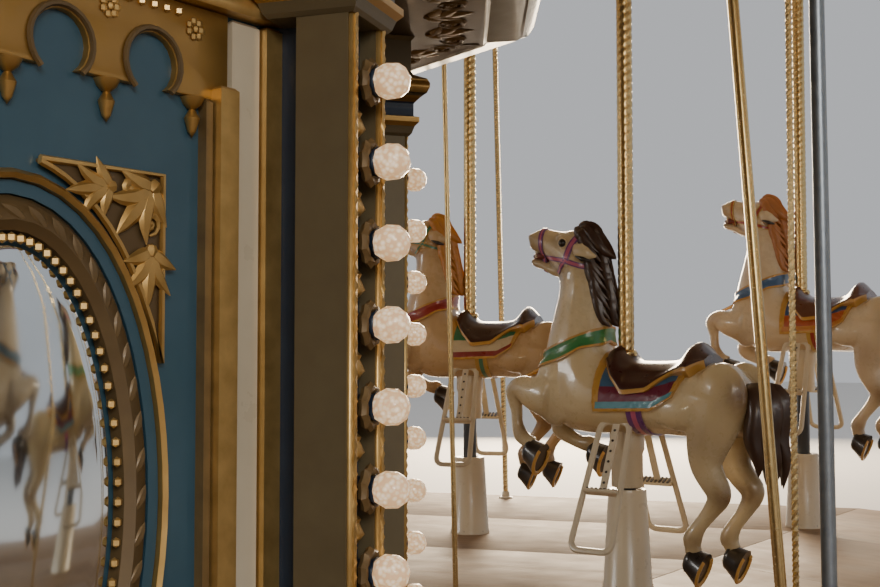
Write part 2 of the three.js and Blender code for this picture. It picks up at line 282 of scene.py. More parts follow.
def plate(outlines, depth, bevel=0.0, finish=0):
    """A plate in the YZ plane with its face towards +X. The second and later outlines are holes."""
    curve = bpy.data.curves.new("plate", "CURVE")
    curve.dimensions = "2D"
    curve.fill_mode = "BOTH"
    curve.extrude = max(depth / 2 - bevel, 1e-4)
    curve.bevel_depth = bevel
    curve.bevel_resolution = 1
    curve.offset = -bevel
    for outline in outlines:
        line = curve.splines.new("POLY")
        line.points.add(len(outline) - 1)
        for point, (across, up) in zip(line.points, outline):
            point.co = (across, up, 0, 1)
        line.use_cyclic_u = True
    holder = linked("plate", curve)
    mesh = solved(holder)
    form = form_of(mesh, finish)
    bpy.data.objects.remove(holder)
    bpy.data.curves.remove(curve)
    bpy.data.meshes.remove(mesh)
    return form.copied(form.points[:, [2, 0, 1]])


def mesh_of(name, form, finishes, marks=None, crease_angle=35):
    """marks holds numbers or vectors that a finish reads, one for each point."""
    mesh = bpy.data.meshes.new(name)
    mesh.from_pydata(form.points.tolist(), [], form.faces)
    mesh.polygons.foreach_set("material_index", form.finishes)
    for mark, values in (marks or {}).items():
        values = np.array(values, np.float32)
        kind, field = ("FLOAT_VECTOR", "vector") if values.ndim == 2 else ("FLOAT", "value")
        mesh.attributes.new(mark, kind, "POINT").data.foreach_set(field, values.ravel())
    for finish in finishes:
        mesh.materials.append(finish)
    work = bmesh.new()
    work.from_mesh(mesh)
    bmesh.ops.remove_doubles(work, verts=work.verts, dist=2e-5)
    bmesh.ops.dissolve_degenerate(work, edges=work.edges, dist=1e-6)
    bmesh.ops.recalc_face_normals(work, faces=work.faces)
    work.to_mesh(mesh)
    work.free()
    mesh.shade_smooth()
    mesh.set_sharp_from_angle(angle=radians(crease_angle))
    return mesh


def triangles(mesh):
    return sum(len(face.vertices) - 2 for face in mesh.polygons)


def thinned(mesh, share):
    """A copy with a share of the triangles, where full detail wouldn't show."""
    holder = linked("thinned", mesh)
    holder.modifiers.new("thin", "DECIMATE").ratio = share
    bpy.context.view_layer.update()
    light = solved(holder)
    light.name = mesh.name + "_light"
    bpy.data.objects.remove(holder)
    return light


def piece(name, mesh, body, nodes=(), matrix=None):
    made = linked(name, mesh)
    if matrix is not None:
        made.matrix_world = matrix
    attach(made, body)
    if nodes:
        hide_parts(*nodes)
    return made


def show(name, form, finishes, nodes=(), body="turntable", marks=None, share=1.0):
    mesh = mesh_of(name, form, finishes, marks)
    if share < 1:
        mesh = thinned(mesh, share)
    print(name, triangles(mesh), "triangles")
    return piece(name, mesh, body, nodes)


print("plates and objects are ready")

# %% [markdown]
# A finish is a small network of nodes. Written out link by link it is hard to read, so one class
# wraps a socket and lets Python's operators add the Math nodes: 1 - mask * 0.3 is then a network.
# Colours go through Mix nodes, because a Math node would turn them grey.

# %% Shader values
class Value:
    def __init__(self, finish, socket):
        self.finish = finish
        self.socket = socket

    def math(self, operation, *others, clamp=False):
        return self.finish.node("ShaderNodeMath", {"operation": operation, "use_clamp": clamp},
                                dict(enumerate([self, *others])))

    def __add__(self, other):
        return self.math("ADD", other)

    def __mul__(self, other):
        return self.math("MULTIPLY", other)

    def __sub__(self, other):
        return self.math("SUBTRACT", other)

    def __rsub__(self, other):
        return (self * -1) + other

    __radd__ = __add__
    __rmul__ = __mul__

    def clamped(self):
        return self.math("ADD", 0.0, clamp=True)

    def between(self, low, high):
        """0 below low, 1 above high, and a straight slope in between."""
        return ((self - low) * (1 / (high - low))).clamped()


class Finish:
    def __init__(self, name, **constants):
        self.material = bpy.data.materials.new(name)
        self.material.use_nodes = True
        self.tree = self.material.node_tree
        self.shader = self.tree.nodes["Principled BSDF"]
        self.place = self.node("ShaderNodeTexCoord", {}, {}, "Object")
        for socket, value in constants.items():
            self.set(socket.replace("_", " "), value)

    def node(self, kind, settings, inputs, output=None):
        made = self.tree.nodes.new(kind)
        for name, value in settings.items():
            setattr(made, name, value)
        open_sockets = [socket for socket in made.inputs if socket.enabled]
        for key, value in inputs.items():
            named = [socket for socket in open_sockets if socket.name == key]
            target = made.inputs[key] if isinstance(key, int) else named[0]
            self.connect(target, value)
        found = [socket for socket in made.outputs if socket.enabled]
        chosen = [socket for socket in found if socket.name == output] or found
        return Value(self, chosen[0])

    def connect(self, socket, value):
        if isinstance(value, Value):
            self.tree.links.new(value.socket, socket)
        elif socket.type == "RGBA":
            socket.default_value = (*value[:3], 1)
        else:
            socket.default_value = value

    def set(self, name, value):
        self.connect(self.shader.inputs[name], value)

    def noise(self, scale, detail=3, stretch=(1, 1, 1)):
        place = self.node("ShaderNodeVectorMath", {"operation": "MULTIPLY"},
                          {0: self.place, 1: stretch})
        return self.node("ShaderNodeTexNoise", {},
                         {"Vector": place, "Scale": scale, "Detail": detail}, "Fac")

    def mix(self, share, low, high):
        return self.node("ShaderNodeMix", {"data_type": "RGBA"},
                         {"Factor": share, "A": low, "B": high})

    def attribute(self, name):
        return self.node("ShaderNodeAttribute", {"attribute_name": name}, {}, "Fac")

    def edges(self):
        """0 in a hollow, about a half on a flat and 1 on a sharp edge."""
        return self.node("ShaderNodeNewGeometry", {}, {}, "Pointiness")

    def bump(self, height, distance, strength=0.6):
        raised = self.node("ShaderNodeBump", {},
                           {"Height": height, "Distance": distance, "Strength": strength})
        self.set("Normal", raised)


print("shader values are ready")

# %% [markdown]
# Carved and painted wood on a ride is never one colour: hollows hold dark glaze, edges are rubbed
# to bright gold, and big faces drift a little in tone. The dark colour in the hollows also stands
# for painted shade. One function makes that family of paints from a base, a dark colour for glaze
# and painted shade, and a rubbed colour, and the networks differ only in their numbers.

# %% Paints and metals
# A weak share of painted shade and glaze in the hollows and of wear on the edges, for big plain
# faces.
LITTLE_SHADE_AND_WEAR = 0.15


def dimmed(colour, share):
    return [channel * share for channel in colour]


def lit_up(colour, gain, lift):
    return [min(1.0, channel * gain + lift) for channel in colour]


def painted(name, base, glaze_and_shade, rubbed, roughness=0.4, metal=0.0, coat=0.3, grain=40.0,
            shade_and_wear=1.0):
    finish = Finish(name, Metallic=metal, Coat_Weight=coat, Coat_Roughness=0.12)
    cloud = finish.noise(3.0, 4)
    fine = finish.noise(grain, 5)
    edge = finish.edges()
    tone = finish.mix(cloud.between(0.35, 0.7), base, dimmed(base, 0.82))
    # Hollows take the dark colour, which is glaze and painted shade together.
    glazed_and_shaded = finish.mix(((0.485 - edge) * (14 * shade_and_wear)).clamped(), tone, glaze_and_shade)
    rubbing = ((edge - 0.53) * (9 * shade_and_wear) * fine).clamped()
    finish.set("Base Color", finish.mix(rubbing, glazed_and_shaded, rubbed))
    finish.set("Roughness", fine * 0.18 + (roughness - 0.09))
    finish.bump(fine, 0.0008, 0.35)
    return finish.material


GOLD = painted("old_gold", (0.46, 0.27, 0.075), (0.05, 0.022, 0.008), (0.85, 0.58, 0.22),
               roughness=0.36, metal=0.75, coat=0.2)
BRONZE = painted("satin_bronze", (0.150, 0.118, 0.062), (0.05, 0.036, 0.018), (0.36, 0.28, 0.14),
                 roughness=0.44, metal=0.25, coat=0.1, shade_and_wear=LITTLE_SHADE_AND_WEAR)
CARVED = painted("glazed_carving", (0.135, 0.088, 0.040), (0.02, 0.011, 0.006),
                 (0.42, 0.28, 0.11), roughness=0.46, metal=0.30, coat=0.1, shade_and_wear=0.6)
NAVY = painted("night_blue_paint", (0.012, 0.028, 0.06), (0.003, 0.006, 0.014),
               (0.06, 0.11, 0.17), roughness=0.42, shade_and_wear=LITTLE_SHADE_AND_WEAR)
TEAL = painted("dusty_teal_panel", (0.03, 0.09, 0.135), (0.008, 0.022, 0.036),
               (0.12, 0.23, 0.29), roughness=0.5, grain=22.0, shade_and_wear=LITTLE_SHADE_AND_WEAR)
CREAM = painted("cream_enamel", (0.72, 0.63, 0.46), (0.33, 0.23, 0.12), (0.84, 0.77, 0.62),
                roughness=0.3, shade_and_wear=0.2)
RED = painted("fair_red_paint", (0.33, 0.022, 0.02), (0.07, 0.004, 0.004), (0.6, 0.16, 0.09),
              roughness=0.34, shade_and_wear=LITTLE_SHADE_AND_WEAR)
STEEL = painted("dark_blue_steel", (0.10, 0.12, 0.15), (0.03, 0.03, 0.035), (0.26, 0.28, 0.31),
                roughness=0.42, metal=0.7, coat=0.0, grain=60.0, shade_and_wear=LITTLE_SHADE_AND_WEAR)
BRASS = painted("polished_brass", (0.62, 0.43, 0.17), (0.13, 0.07, 0.02), (0.92, 0.74, 0.40),
                roughness=0.24, metal=0.95, coat=0.1, grain=90.0)
GREY_ROD = painted("grey_blue_rod", (0.20, 0.24, 0.28), (0.06, 0.07, 0.085), (0.42, 0.46, 0.50),
                   roughness=0.34, metal=0.7, coat=0.1, grain=70.0)


def mirror_glass():
    finish = Finish("silvered_mirror", Metallic=1.0)
    haze = finish.noise(5.0, 4)
    finish.set("Base Color", finish.mix(haze.between(0.4, 0.8), (0.72, 0.76, 0.78),
                                        (0.52, 0.55, 0.54)))
    finish.set("Roughness", haze * 0.08 + 0.015)
    return finish.material


def lamp_glass():
    finish = Finish("warm_lamp", Roughness=0.10, Emission_Strength=0.95)
    cuts = finish.node("ShaderNodeTexVoronoi", {"feature": "F1"},
                       {"Vector": finish.place, "Scale": 210.0}, "Distance")
    glow = (1 - cuts * 1.5).clamped()
    finish.set("Base Color", finish.mix(glow, (0.66, 0.52, 0.38), (1.0, 0.93, 0.80)))
    finish.set("Emission Color", finish.mix(glow, (0.60, 0.34, 0.15), (1.0, 0.80, 0.54)))
    return finish.material


MIRROR = mirror_glass()
LAMP = lamp_glass()
print(len(bpy.data.materials), "finishes so far")

# %% [markdown]
# The deck is wide pale boards, each cut from another tree. Every board gets one number of its
# own, and the grain is noise stretched along the board, so that no two boards match.

# %% Deck boards finish
def board_finish():
    finish = Finish("pale_deck_boards", Specular_IOR_Level=0.22)
    own = finish.attribute("board")
    grain = finish.node("ShaderNodeTexNoise", {"noise_dimensions": "4D"},
                        {"Vector": finish.node("ShaderNodeAttribute",
                                               {"attribute_name": "along"}, {}, "Vector"),
                         "W": own * 40, "Scale": 1.0, "Detail": 6})
    scuff = finish.noise(9.0, 5)
    wood = finish.mix(grain.between(0.35, 0.68), (0.20, 0.125, 0.068), (0.33, 0.225, 0.135))
    toned = finish.mix(own * 0.45, wood, (0.27, 0.18, 0.105))
    finish.set("Base Color", finish.mix(scuff.between(0.55, 0.85) * 0.5, toned, (0.14, 0.09, 0.06)))
    finish.set("Roughness", grain * 0.2 + scuff * 0.2 + 0.42)
    finish.bump(grain, 0.0012, 0.5)
    return finish.material


BOARDS = board_finish()
print("boards finish made")

# %% [markdown]
# The horse is one casting on the real ride: barrel, neck, legs and head flow into each other.
# A subdivision surface from a hand-made cage would do, but lofted bodies that are melted together
# by a voxel remesh are quicker to shape from measured stations, and they blend like clay.
# Stations are in millimetres in the horse's own frame: forward and height above the deck.

# %% Horse stations
MM = 0.001
TRUNK = [((-440, 602), (-440, 560), 42), ((-424, 622), (-420, 515), 86),
         ((-390, 664), (-394, 482), 120), ((-342, 700), (-332, 478), 139),
         ((-250, 700), (-220, 476), 138), ((-120, 690), (-110, 480), 132),
         ((0, 700), (10, 478), 132), ((60, 745), (130, 476), 130),
         ((60, 800), (215, 500), 122), ((62, 860), (282, 600), 103),
         ((75, 930), (282, 720), 84), ((95, 1000), (255, 830), 65),
         ((115, 1060), (232, 920), 55), ((140, 1105), (235, 985), 48)]
HEAD = [((105, 1100), (120, 1010), 38), ((140, 1128), (150, 985), 50),
        ((185, 1130), (195, 978), 55), ((221, 1127), (228, 990), 52),
        ((255, 1132), (255, 1012), 43), ((288, 1140), (285, 1045), 35),
        ((320, 1138), (312, 1058), 34), ((340, 1120), (335, 1068), 29),
        ((349, 1102), (345, 1080), 15)]
JAW = [((205, 1010), (215, 972), 34), ((262, 1018), (258, 982), 27),
       ((300, 1036), (296, 1003), 24), ((335, 1045), (325, 1012), 22),
       ((346, 1040), (342, 1024), 11)]
# Legs: forward, height, sideways, half thickness, half width.
NEAR_FORE = [(225, 590, 88, 76, 46), (285, 600, 88, 58, 40), (335, 616, 80, 43, 35),
             (366, 604, 75, 34, 32), (367, 575, 72, 26, 26), (362, 540, 71, 20, 21),
             (360, 500, 71, 20, 21), (346, 464, 71, 26, 25), (324, 447, 71, 23, 22),
             (302, 436, 71, 26, 25)]
FAR_FORE = [(225, 565, -88, 70, 44), (258, 525, -84, 46, 36), (283, 488, -76, 34, 32),
            (262, 466, -72, 29, 28), (228, 448, -70, 24, 23), (196, 436, -70, 24, 23),
            (172, 434, -70, 29, 27), (158, 430, -70, 25, 24), (148, 428, -70, 27, 26)]
NEAR_HIND = [(-332, 600, 88, 90, 56), (-322, 520, 90, 84, 51), (-302, 440, 86, 62, 43),
             (-302, 395, 83, 49, 40), (-322, 352, 80, 43, 36), (-337, 312, 76, 37, 31),
             (-309, 266, 75, 26, 25), (-272, 219, 74, 23, 23), (-251, 182, 74, 30, 28),
             (-251, 160, 74, 25, 25), (-255, 139, 74, 28, 27)]
FAR_HIND = [(-336, 600, -88, 90, 56), (-330, 520, -90, 82, 51), (-320, 440, -86, 60, 43),
            (-328, 388, -82, 48, 38), (-354, 350, -79, 42, 35), (-382, 312, -76, 36, 31),
            (-354, 254, -75, 25, 24), (-324, 212, -74, 23, 23), (-304, 172, -74, 30, 28),
            (-311, 152, -74, 25, 25), (-318, 135, -74, 28, 27)]
LEGS = [NEAR_FORE, FAR_FORE, NEAR_HIND, FAR_HIND]
# Muscles: forward, height, sideways, then half sizes. Each is made on both sides.
MUSCLES = [((212, 615, 82), (72, 34, 118)), ((-352, 600, 92), (84, 46, 104)),
           ((262, 610, 40), (46, 44, 74)), ((180, 1030, 42), (46, 18, 44)),
           ((204, 1110, 42), (24, 12, 12)), ((328, 1112, 26), (19, 11, 15)),
           ((150, 880, 46), (34, 22, 120)), ((-230, 560, 104), (90, 40, 60))]
VOXEL = 0.006
SCULPT_FACES = 11000
print("legs:", len(LEGS), "and muscles on each side:", len(MUSCLES))

# %% [markdown]
# Each row of stations becomes an egg-shaped tube, and the tubes and muscles overlap. The remesh
# melts them into one hide, smoothing takes the steps out, and a decimate brings the number of
# triangles down to what a close view can show.

# %% Sculpt the horse
def loft(stations, sides=18, steps=5):
    rows = smooth_line([[*back, *belly, half] for back, belly, half in stations], steps) * MM
    rings = []
    for bx, bz, lx, lz, half in rows:
        ring = []
        for t in full_turn(sides):
            share = 0.5 + 0.5 * cos(t)
            egg = 1 - 0.16 * (share - 0.45)
            ring.append((lx + (bx - lx) * share, half * egg * sin(t), lz + (bz - lz) * share))
        rings.append(ring)
    return skin(rings)


def limb(stations, sides=12):
    rows = smooth_line(stations, 4) * MM
    rings = []
    for index, (x, z, y, thick, half) in enumerate(rows):
        before, after = rows[max(index - 1, 0)], rows[min(index + 1, len(rows) - 1)]
        along = Vector((after[0] - before[0], 0, after[1] - before[1])).normalized()
        rings.append([(x + along.z * thick * cos(t), y + half * sin(t),
                       z - along.x * thick * cos(t))
                      for t in full_turn(sides)])
    return skin(rings)


def muscle(centre, size):
    x, z, y = (value * MM for value in centre)
    a, b, c = (value * MM for value in size)
    return both_sides(ball(1.0, 14, 10).scaled(a, b, c).moved(x, y, z))


def sculpt_horse():
    clay = join([*map(loft, (TRUNK, HEAD, JAW)), *map(limb, LEGS),
                 *[muscle(*place) for place in MUSCLES]])
    holder = linked("clay", mesh_of("clay", clay, []))
    remesh = holder.modifiers.new("remesh", "REMESH")
    remesh.mode, remesh.voxel_size = "VOXEL", VOXEL
    smooth = holder.modifiers.new("smooth", "SMOOTH")
    smooth.factor, smooth.iterations = 0.5, 9
    thin = holder.modifiers.new("thin", "DECIMATE")
    thin.ratio = 1.0
    bpy.context.view_layer.update()
    dense = holder.evaluated_get(bpy.context.evaluated_depsgraph_get()).to_mesh()
    thin.ratio = min(1.0, SCULPT_FACES / (2 * len(dense.polygons)))
    bpy.context.view_layer.update()
    form = form_of(solved(holder))
    bpy.data.objects.remove(holder)
    return form


HORSE = sculpt_horse()
HIDE = BVHTree.FromPolygons(HORSE.points.tolist(), HORSE.faces)
print("horse sculpt:", len(HORSE.faces), "faces")

# %% [markdown]
# A painter sprays brown on a carved horse at listed spots: round the muzzle, under the belly,
# behind the knees and at the dock. Painted shade is added in the hollows of the sculpt and on every
# surface that faces down. Both are worked out once from the shape, as one number a vertex, and the
# paint reads it. Painting it by hand would be lost at the next remesh.

# %% Airbrushed brown and painted shade
SPRAYED = [((345, 1085), 42, 0.45), ((335, 1025), 36, 0.45), ((-434, 606), 62, 0.85),
           ((-345, 308), 46, 0.45), ((-390, 308), 46, 0.45), ((-251, 172), 36, 0.45),
           ((-306, 164), 36, 0.45), ((368, 632), 40, 0.22), ((336, 482), 38, 0.42),
           ((283, 486), 40, 0.25), ((166, 432), 40, 0.45), ((-300, 470), 70, 0.35),
           ((228, 1088), 22, 0.4), ((210, 985), 44, 0.3), ((225, 520), 60, 0.3)]


def shade_of(form):
    points = form.points
    edges = np.array([(a, b) for face in form.faces for a, b in zip(face, face[1:] + face[:1])])
    total, count = np.zeros_like(points), np.zeros(len(points))
    np.add.at(total, edges[:, 0], points[edges[:, 1]])
    np.add.at(count, edges[:, 0], 1)
    normals = np.zeros_like(points)
    for face in form.faces:
        a, b, c = (points[corner] for corner in face[:3])
        normals[list(face)] += np.cross(b - a, c - a)
    normals /= np.linalg.norm(normals, axis=1)[:, None] + 1e-12
    hollow = np.einsum("ij,ij->i", total / count[:, None] - points, normals) / VOXEL
    for _ in range(4):
        spread = np.zeros(len(points))
        np.add.at(spread, edges[:, 0], hollow[edges[:, 1]])
        hollow = 0.5 * hollow + 0.5 * spread / count
    # Painted shade in the hollows of the sculpt.
    shade = np.clip(hollow * 3.8, 0, 0.7)
    for (x, z), reach, strength in SPRAYED:
        distance = np.hypot(points[:, 0] - x * MM, points[:, 2] - z * MM) / (reach * MM)
        shade += strength * np.exp(-distance ** 2)
    # Painted shade on every surface that faces down.
    shade += 0.22 * np.clip(-normals[:, 2] - 0.3, 0, 1)
    return np.clip(shade, 0, 1)


SHADE = shade_of(HORSE)
print("shade from", round(float(SHADE.min()), 2), "to", round(float(SHADE.max()), 2))

# %% [markdown]
# Hooves, shoes, eyes, ears and teeth have edges that a remesh would melt, so they are made as
# forms of their own and set against the sculpt. A hoof is a short flared cone with a flat sole,
# and the shoe is a bar bent round the toe.

# %% Hooves, eyes, ears and teeth
HOOF, SHOE, SOLE, EYE_BLACK, MOUTH, TEETH = 1, 2, 3, 4, 5, 6
# The way that the sole of each leg faces: forward and up.
SOLE_WAYS = [(-0.93, -0.37), (-0.95, -0.31), (-0.93, -0.37), (-0.93, -0.37)]
HOOF_LINE = [(0.028, -0.014), (0.034, -0.006), (0.034, 0.001), (0.040, 0.024), (0.046, 0.044)]
HOOF_LENGTH = 1.18
TOE_REACH = 0.024
EYE_AHEAD, EYE_HEIGHT = 0.201, 1.085


def hoof(leg, sole):
    """A hoof at the last station of a leg, with its toe at right angles to the sole's way."""
    x, z, y = (value * MM for value in leg[-1][:3])
    toe = (-sole[1], sole[0])
    stance = Matrix(((toe[0], 0, sole[0], x), (0, 1, 0, y), (toe[1], 0, sole[1], z),
                     (0, 0, 0, 1)))
    rings = [[(r * HOOF_LENGTH * cos(t) + TOE_REACH + height * 0.22, r * sin(t), height)
              for t in full_turn(20)] for r, height in HOOF_LINE]
    wall = skin(rings, finish=HOOF)
    wall.finishes[-1] = SOLE
    bow = [(0.0405 * HOOF_LENGTH * cos(t) + TOE_REACH + 0.010, 0.0385 * sin(t), 0.046)
           for t in np.linspace(-2.3, 2.3, 22)]
    shoe = tube(bow, 0.0082, 6, 0.7, finish=SHOE)
    return join([wall, shoe]).placed(stance)


def face_parts():
    eye = ball(0.0135, 14, 9, EYE_BLACK).moved(EYE_AHEAD, 0.0490, EYE_HEIGHT)
    lid = tube([(EYE_AHEAD + 0.015 * cos(t), 0.0540 - 0.006 * abs(cos(t)),
                 EYE_HEIGHT + 0.0165 * sin(t)) for t in full_turn(18)],
               0.0038, 6, looped=True, up=(0, 1, 0))
    ear = tube(smooth_line([(0.160, 0.046, 1.070), (0.136, 0.058, 1.056), (0.109, 0.058, 1.044),
                            (0.080, 0.046, 1.036)], 4),
               np.interp(np.arange(13), [0, 4, 8, 12], [0.013, 0.026, 0.022, 0.003]), 10, 0.55,
               up=(0, 1, 0))
    cup = tube(smooth_line([(0.144, 0.067, 1.040), (0.116, 0.071, 1.028), (0.090, 0.062, 1.021)],
                           4), np.interp(np.arange(9), [0, 4, 8], [0.003, 0.008, 0.003]), 8,
               0.40, up=(0, 1, 0), finish=SOLE)
    nostril = ball(0.0075, 10, 6, MOUTH).scaled(1.3, 0.7, 0.9).moved(0.322, 0.0285, 1.109)
    palate = ball(1.0, 12, 8, MOUTH).scaled(0.034, 0.020, 0.014).moved(0.306, 0, 1.050)
    biting = [box((0.322 - 0.0035 * abs(k), 0.330 - 0.0035 * abs(k)),
                  (k * 0.0072 - 0.0033, k * 0.0072 + 0.0033), (height, height + 0.011), 0.0012,
                  TEETH) for k in range(-2, 3) for height in (1.044, 1.058)]
    return join([both_sides(join([eye, lid, ear, cup, nostril])), palate, *biting])


DETAILS = join([*map(hoof, LEGS, SOLE_WAYS), face_parts()])
print("hooves and face:", len(DETAILS.faces), "faces")

# %% [markdown]
# Manes and tails on carved horses are locks: each swells from its root, curls, and ends in a
# point, with combed grooves along it. A lock is a tube with a ridged section that follows a
# curve, and a loop lays the locks along the crest so that each overlaps the next.

# %% Mane and tail
CREST = smooth_line([(158, 1142), (124, 1124), (98, 1062), (82, 1000), (68, 935), (56, 868),
                     (52, 800)], 8) * MM


def lock(points, width, sides=8, up=(0, 1, 0), flat=0.55):
    path = smooth_line(points, 3)
    share = np.linspace(0, 1, len(path))
    swell = width * np.clip(np.sin(np.pi * (0.16 + 0.84 * share)) ** 0.7, 0.03, 1)
    form = tube(path, swell, sides, flat, up=up)
    rings = form.points.reshape(len(path), sides, 3)
    groove = np.where(np.arange(sides) % 2, 0.80, 1.0)[None, :, None]
    return form.copied((path[:, None, :] + (rings - path[:, None, :]) * groove).reshape(-1, 3))


def crest_at(share):
    place = np.clip(share, 0, 1) * (len(CREST) - 1)
    low = int(min(place, len(CREST) - 2))
    return CREST[low] + (CREST[low + 1] - CREST[low]) * (place - low)


def beside_crest(share, back, side):
    """A point near the crest: share runs from poll to withers, back and side are offsets."""
    share = min(share, 0.97)
    (ax, az), (bx, bz) = crest_at(share - 0.02), crest_at(share + 0.02)
    size = hypot(bx - ax, bz - az)
    x, z = crest_at(share)
    return x + back * (bz - az) / size, side, z - back * (bx - ax) / size


# Each lock runs along the crest: share of the crest passed, offset back, offset to the side.
SIDE_LOCK = [(0.00, -0.010, 0.030), (0.09, -0.022, 0.041), (0.19, -0.022, 0.044),
             (0.29, -0.010, 0.040), (0.38, 0.014, 0.028)]
BACK_LOCK = [(0.00, -0.006, 0.008), (0.10, 0.006, 0.014), (0.20, 0.012, 0.016),
             (0.30, 0.015, 0.012), (0.41, 0.032, 0.004)]
CROWN_LOCK = [(0.162, 0.6, 1.112), (0.126, 1.0, 1.116), (0.094, 1.0, 1.078), (0.066, 0.8, 1.048),
              (0.034, 0.1, 1.026)]


def mane():
    locks = []
    for index, start in enumerate(np.linspace(0.0, 0.62, 9)):
        wave = 0.005 * sin(index * 2.3)
        for pattern, width in ((SIDE_LOCK, 0.018), (BACK_LOCK, 0.019)):
            locks.append(lock([beside_crest(start + step, back + wave * (place % 2), side)
                               for place, (step, back, side) in enumerate(pattern)], width))
    for y in (0.010, 0.030):
        locks.append(lock([(x, y * share, z + 0.2 * y) for x, share, z in CROWN_LOCK], 0.021))
    return both_sides(join(locks))


def hanging_tail():
    """Locks that fall side by side from the dock and hide the back of the thighs."""
    def fall(x, side, tip):
        return lock([(-0.402, side * 0.3, 0.622), (x + 0.012, side * 0.75, 0.616),
                     (x - 0.006, side, 0.560), (x + 0.002, side * 1.05, 0.485),
                     (x - 0.012, side * 0.95, 0.420), (x - 0.004, side * 0.7, tip)],
                    0.029, flat=0.75)
    beside = [fall(-0.446, 0.086, 0.372), fall(-0.462, 0.062, 0.352), fall(-0.482, 0.038, 0.342)]
    return join([both_sides(join(beside)), fall(-0.500, 0.010, 0.338), fall(-0.492, -0.012, 0.356)])


def arched_tail():
    locks = []
    for index, side in enumerate((-30, -18, -6, 6, 18, 30)):
        y = side * MM
        drop = 0.012 * (index % 3)
        locks.append(lock([(-0.410, y * 0.3, 0.618), (-0.465, y * 0.6, 0.676 - drop),
                           (-0.535, y, 0.668 - drop), (-0.560, y * 1.2, 0.585),
                           (-0.532, y * 1.2, 0.510 - drop), (-0.552, y, 0.430),
                           (-0.528, y * 0.8, 0.372 + drop)], 0.024, flat=0.75))
    return join(locks)


MANE = mane()
TAILS = [hanging_tail(), arched_tail()]
print("mane:", len(MANE.faces), "faces, tail:", len(TAILS[0].faces), "faces")

# %% [markdown]
# Saddle, cloth, collar and straps are cast on the horse, so they hug it. Each is a grid of rays
# shot at the sculpt, with every hit lifted a little along its ray. A shrinkwrap modifier would do
# the same, but rays let the thickness follow a formula, such as a tufted quilt.

# %% Snug patches
SPINE = 0.59


def snug(rays, lift, finish_of, looped=False, sink=0.006):
    """rays is a grid of (start, direction). lift(row, column) is the height over the hide."""
    rows, columns = len(rays), len(rays[0])
    tops, grid = [], []
    for row in range(rows):
        for column in range(columns):
            start, direction = (Vector(part) for part in rays[row][column])
            hit = HIDE.ray_cast(start, direction.normalized())[0]
            hit = hit if hit is not None else start + direction.normalized() * 0.3
            grid.append(np.array(hit + direction.normalized() * sink))
            tops.append(np.array(hit - direction.normalized() * lift(row, column)))
    across = columns if looped else columns - 1

    def at(row, column):
        return row * columns + column % columns
    faces, finishes = [], []
    for row in range(rows - 1):
        for column in range(across):
            faces.append((at(row, column), at(row + 1, column), at(row + 1, column + 1),
                          at(row, column + 1)))
            finishes.append(finish_of(row, column))
    rim = [(at(0, c), at(0, c + 1), finish_of(0, c)) for c in range(across)]
    rim += [(at(rows - 1, c + 1), at(rows - 1, c), finish_of(rows - 2, c)) for c in range(across)]
    if not looped:
        rim += [(at(r + 1, 0), at(r, 0), finish_of(r, 0)) for r in range(rows - 1)]
        rim += [(at(r, columns - 1), at(r + 1, columns - 1), finish_of(r, columns - 2))
                for r in range(rows - 1)]
    size = len(tops)
    for a, b, finish in rim:
        faces.append((a, b, b + size, a + size))
        finishes.append(finish)
    form = Form(np.array(tops + grid), faces)
    form.finishes = finishes
    return form


def spoke(x, angle):
    """A ray that is shot at the barrel from outside. Angle 0 comes from above, degrees."""
    turn = radians(angle)
    out = Vector((0, sin(turn), cos(turn)))
    return Vector((x, 0, SPINE)) + out * 0.4, -out


def hoop(centre, forward, low, high, rows, columns):
    """Rays at a neck or muzzle from all round: centre and forward are (x, z) in millimetres."""
    ahead = Vector((forward[0], 0, forward[1])).normalized()
    along = Vector((-ahead.z, 0, ahead.x))
    rays = []
    for row in range(rows):
        line = []
        for column in range(columns):
            turn = 2 * pi * column / columns
            bottom, top = (edge(turn) if callable(edge) else edge for edge in (low, high))
            out = ahead * cos(turn) + Vector((0, sin(turn), 0))
            step = bottom + (top - bottom) * row / (rows - 1)
            middle = Vector((centre[0], 0, centre[1])) * MM + along * step * MM
            line.append((middle + out * 0.3, -out))
        rays.append(line)
    return rays


print("the hide for the rays is", round(max(HORSE.points[:, 2]), 2), "m high")

# %% [markdown]
# The cloth is a tufted field inside a border, a band and a hem, and the saddle lies over it with a
# raised cantle and pommel. The bridle is ribbons through points on the cheek, with a rosette
# where they meet. Only the heights over the hide differ, so every one is a few lines.

# %% Saddle, cloth, collar and straps
CLOTH, BORDER, BAND, HEM, SEAT, STRAP, EDGING, ROSETTE, COLLAR = range(9)


def side_of(column, columns):
    """Where a column of a grid lies, from -1 on the far side to 1 on the near side."""
    return 2 * column / (columns - 1) - 1


def saddle_cloth():
    front, rear = 0.048, -0.262
    places = np.linspace(rear, front, 30)
    columns = 53

    def reach(x):
        return np.interp(x, [rear, -0.235, -0.18, front], [86, 92, 103, 106])

    def slant(x, side):
        return x + 0.045 * side ** 2 * (front - x) / (front - rear)

    sides = [side_of(column, columns) for column in range(columns)]
    rays = [[spoke(slant(x, side), reach(x) * side) for side in sides] for x in places]

    def zone(row, column):
        side = abs(side_of(column + 0.5, columns))
        ends = min(row, len(places) - 2 - row)
        if side > 0.965 or ends < 1:
            return BORDER
        if side > 0.90:
            return HEM
        if side > 0.875 or ends < 2:
            return BORDER
        if side > 0.70:
            return BAND
        return BORDER if side > 0.675 else CLOTH

    def height(row, column):
        side = abs(sides[column])
        tuft = abs(sin(row * 0.9 + column * 0.9) * sin(row * 0.9 - column * 0.9))
        edge = 0.004 if side > 0.96 or row in (0, len(places) - 1) else 0
        return 0.007 + 0.0035 * tuft + edge
    return snug(rays, height, zone)


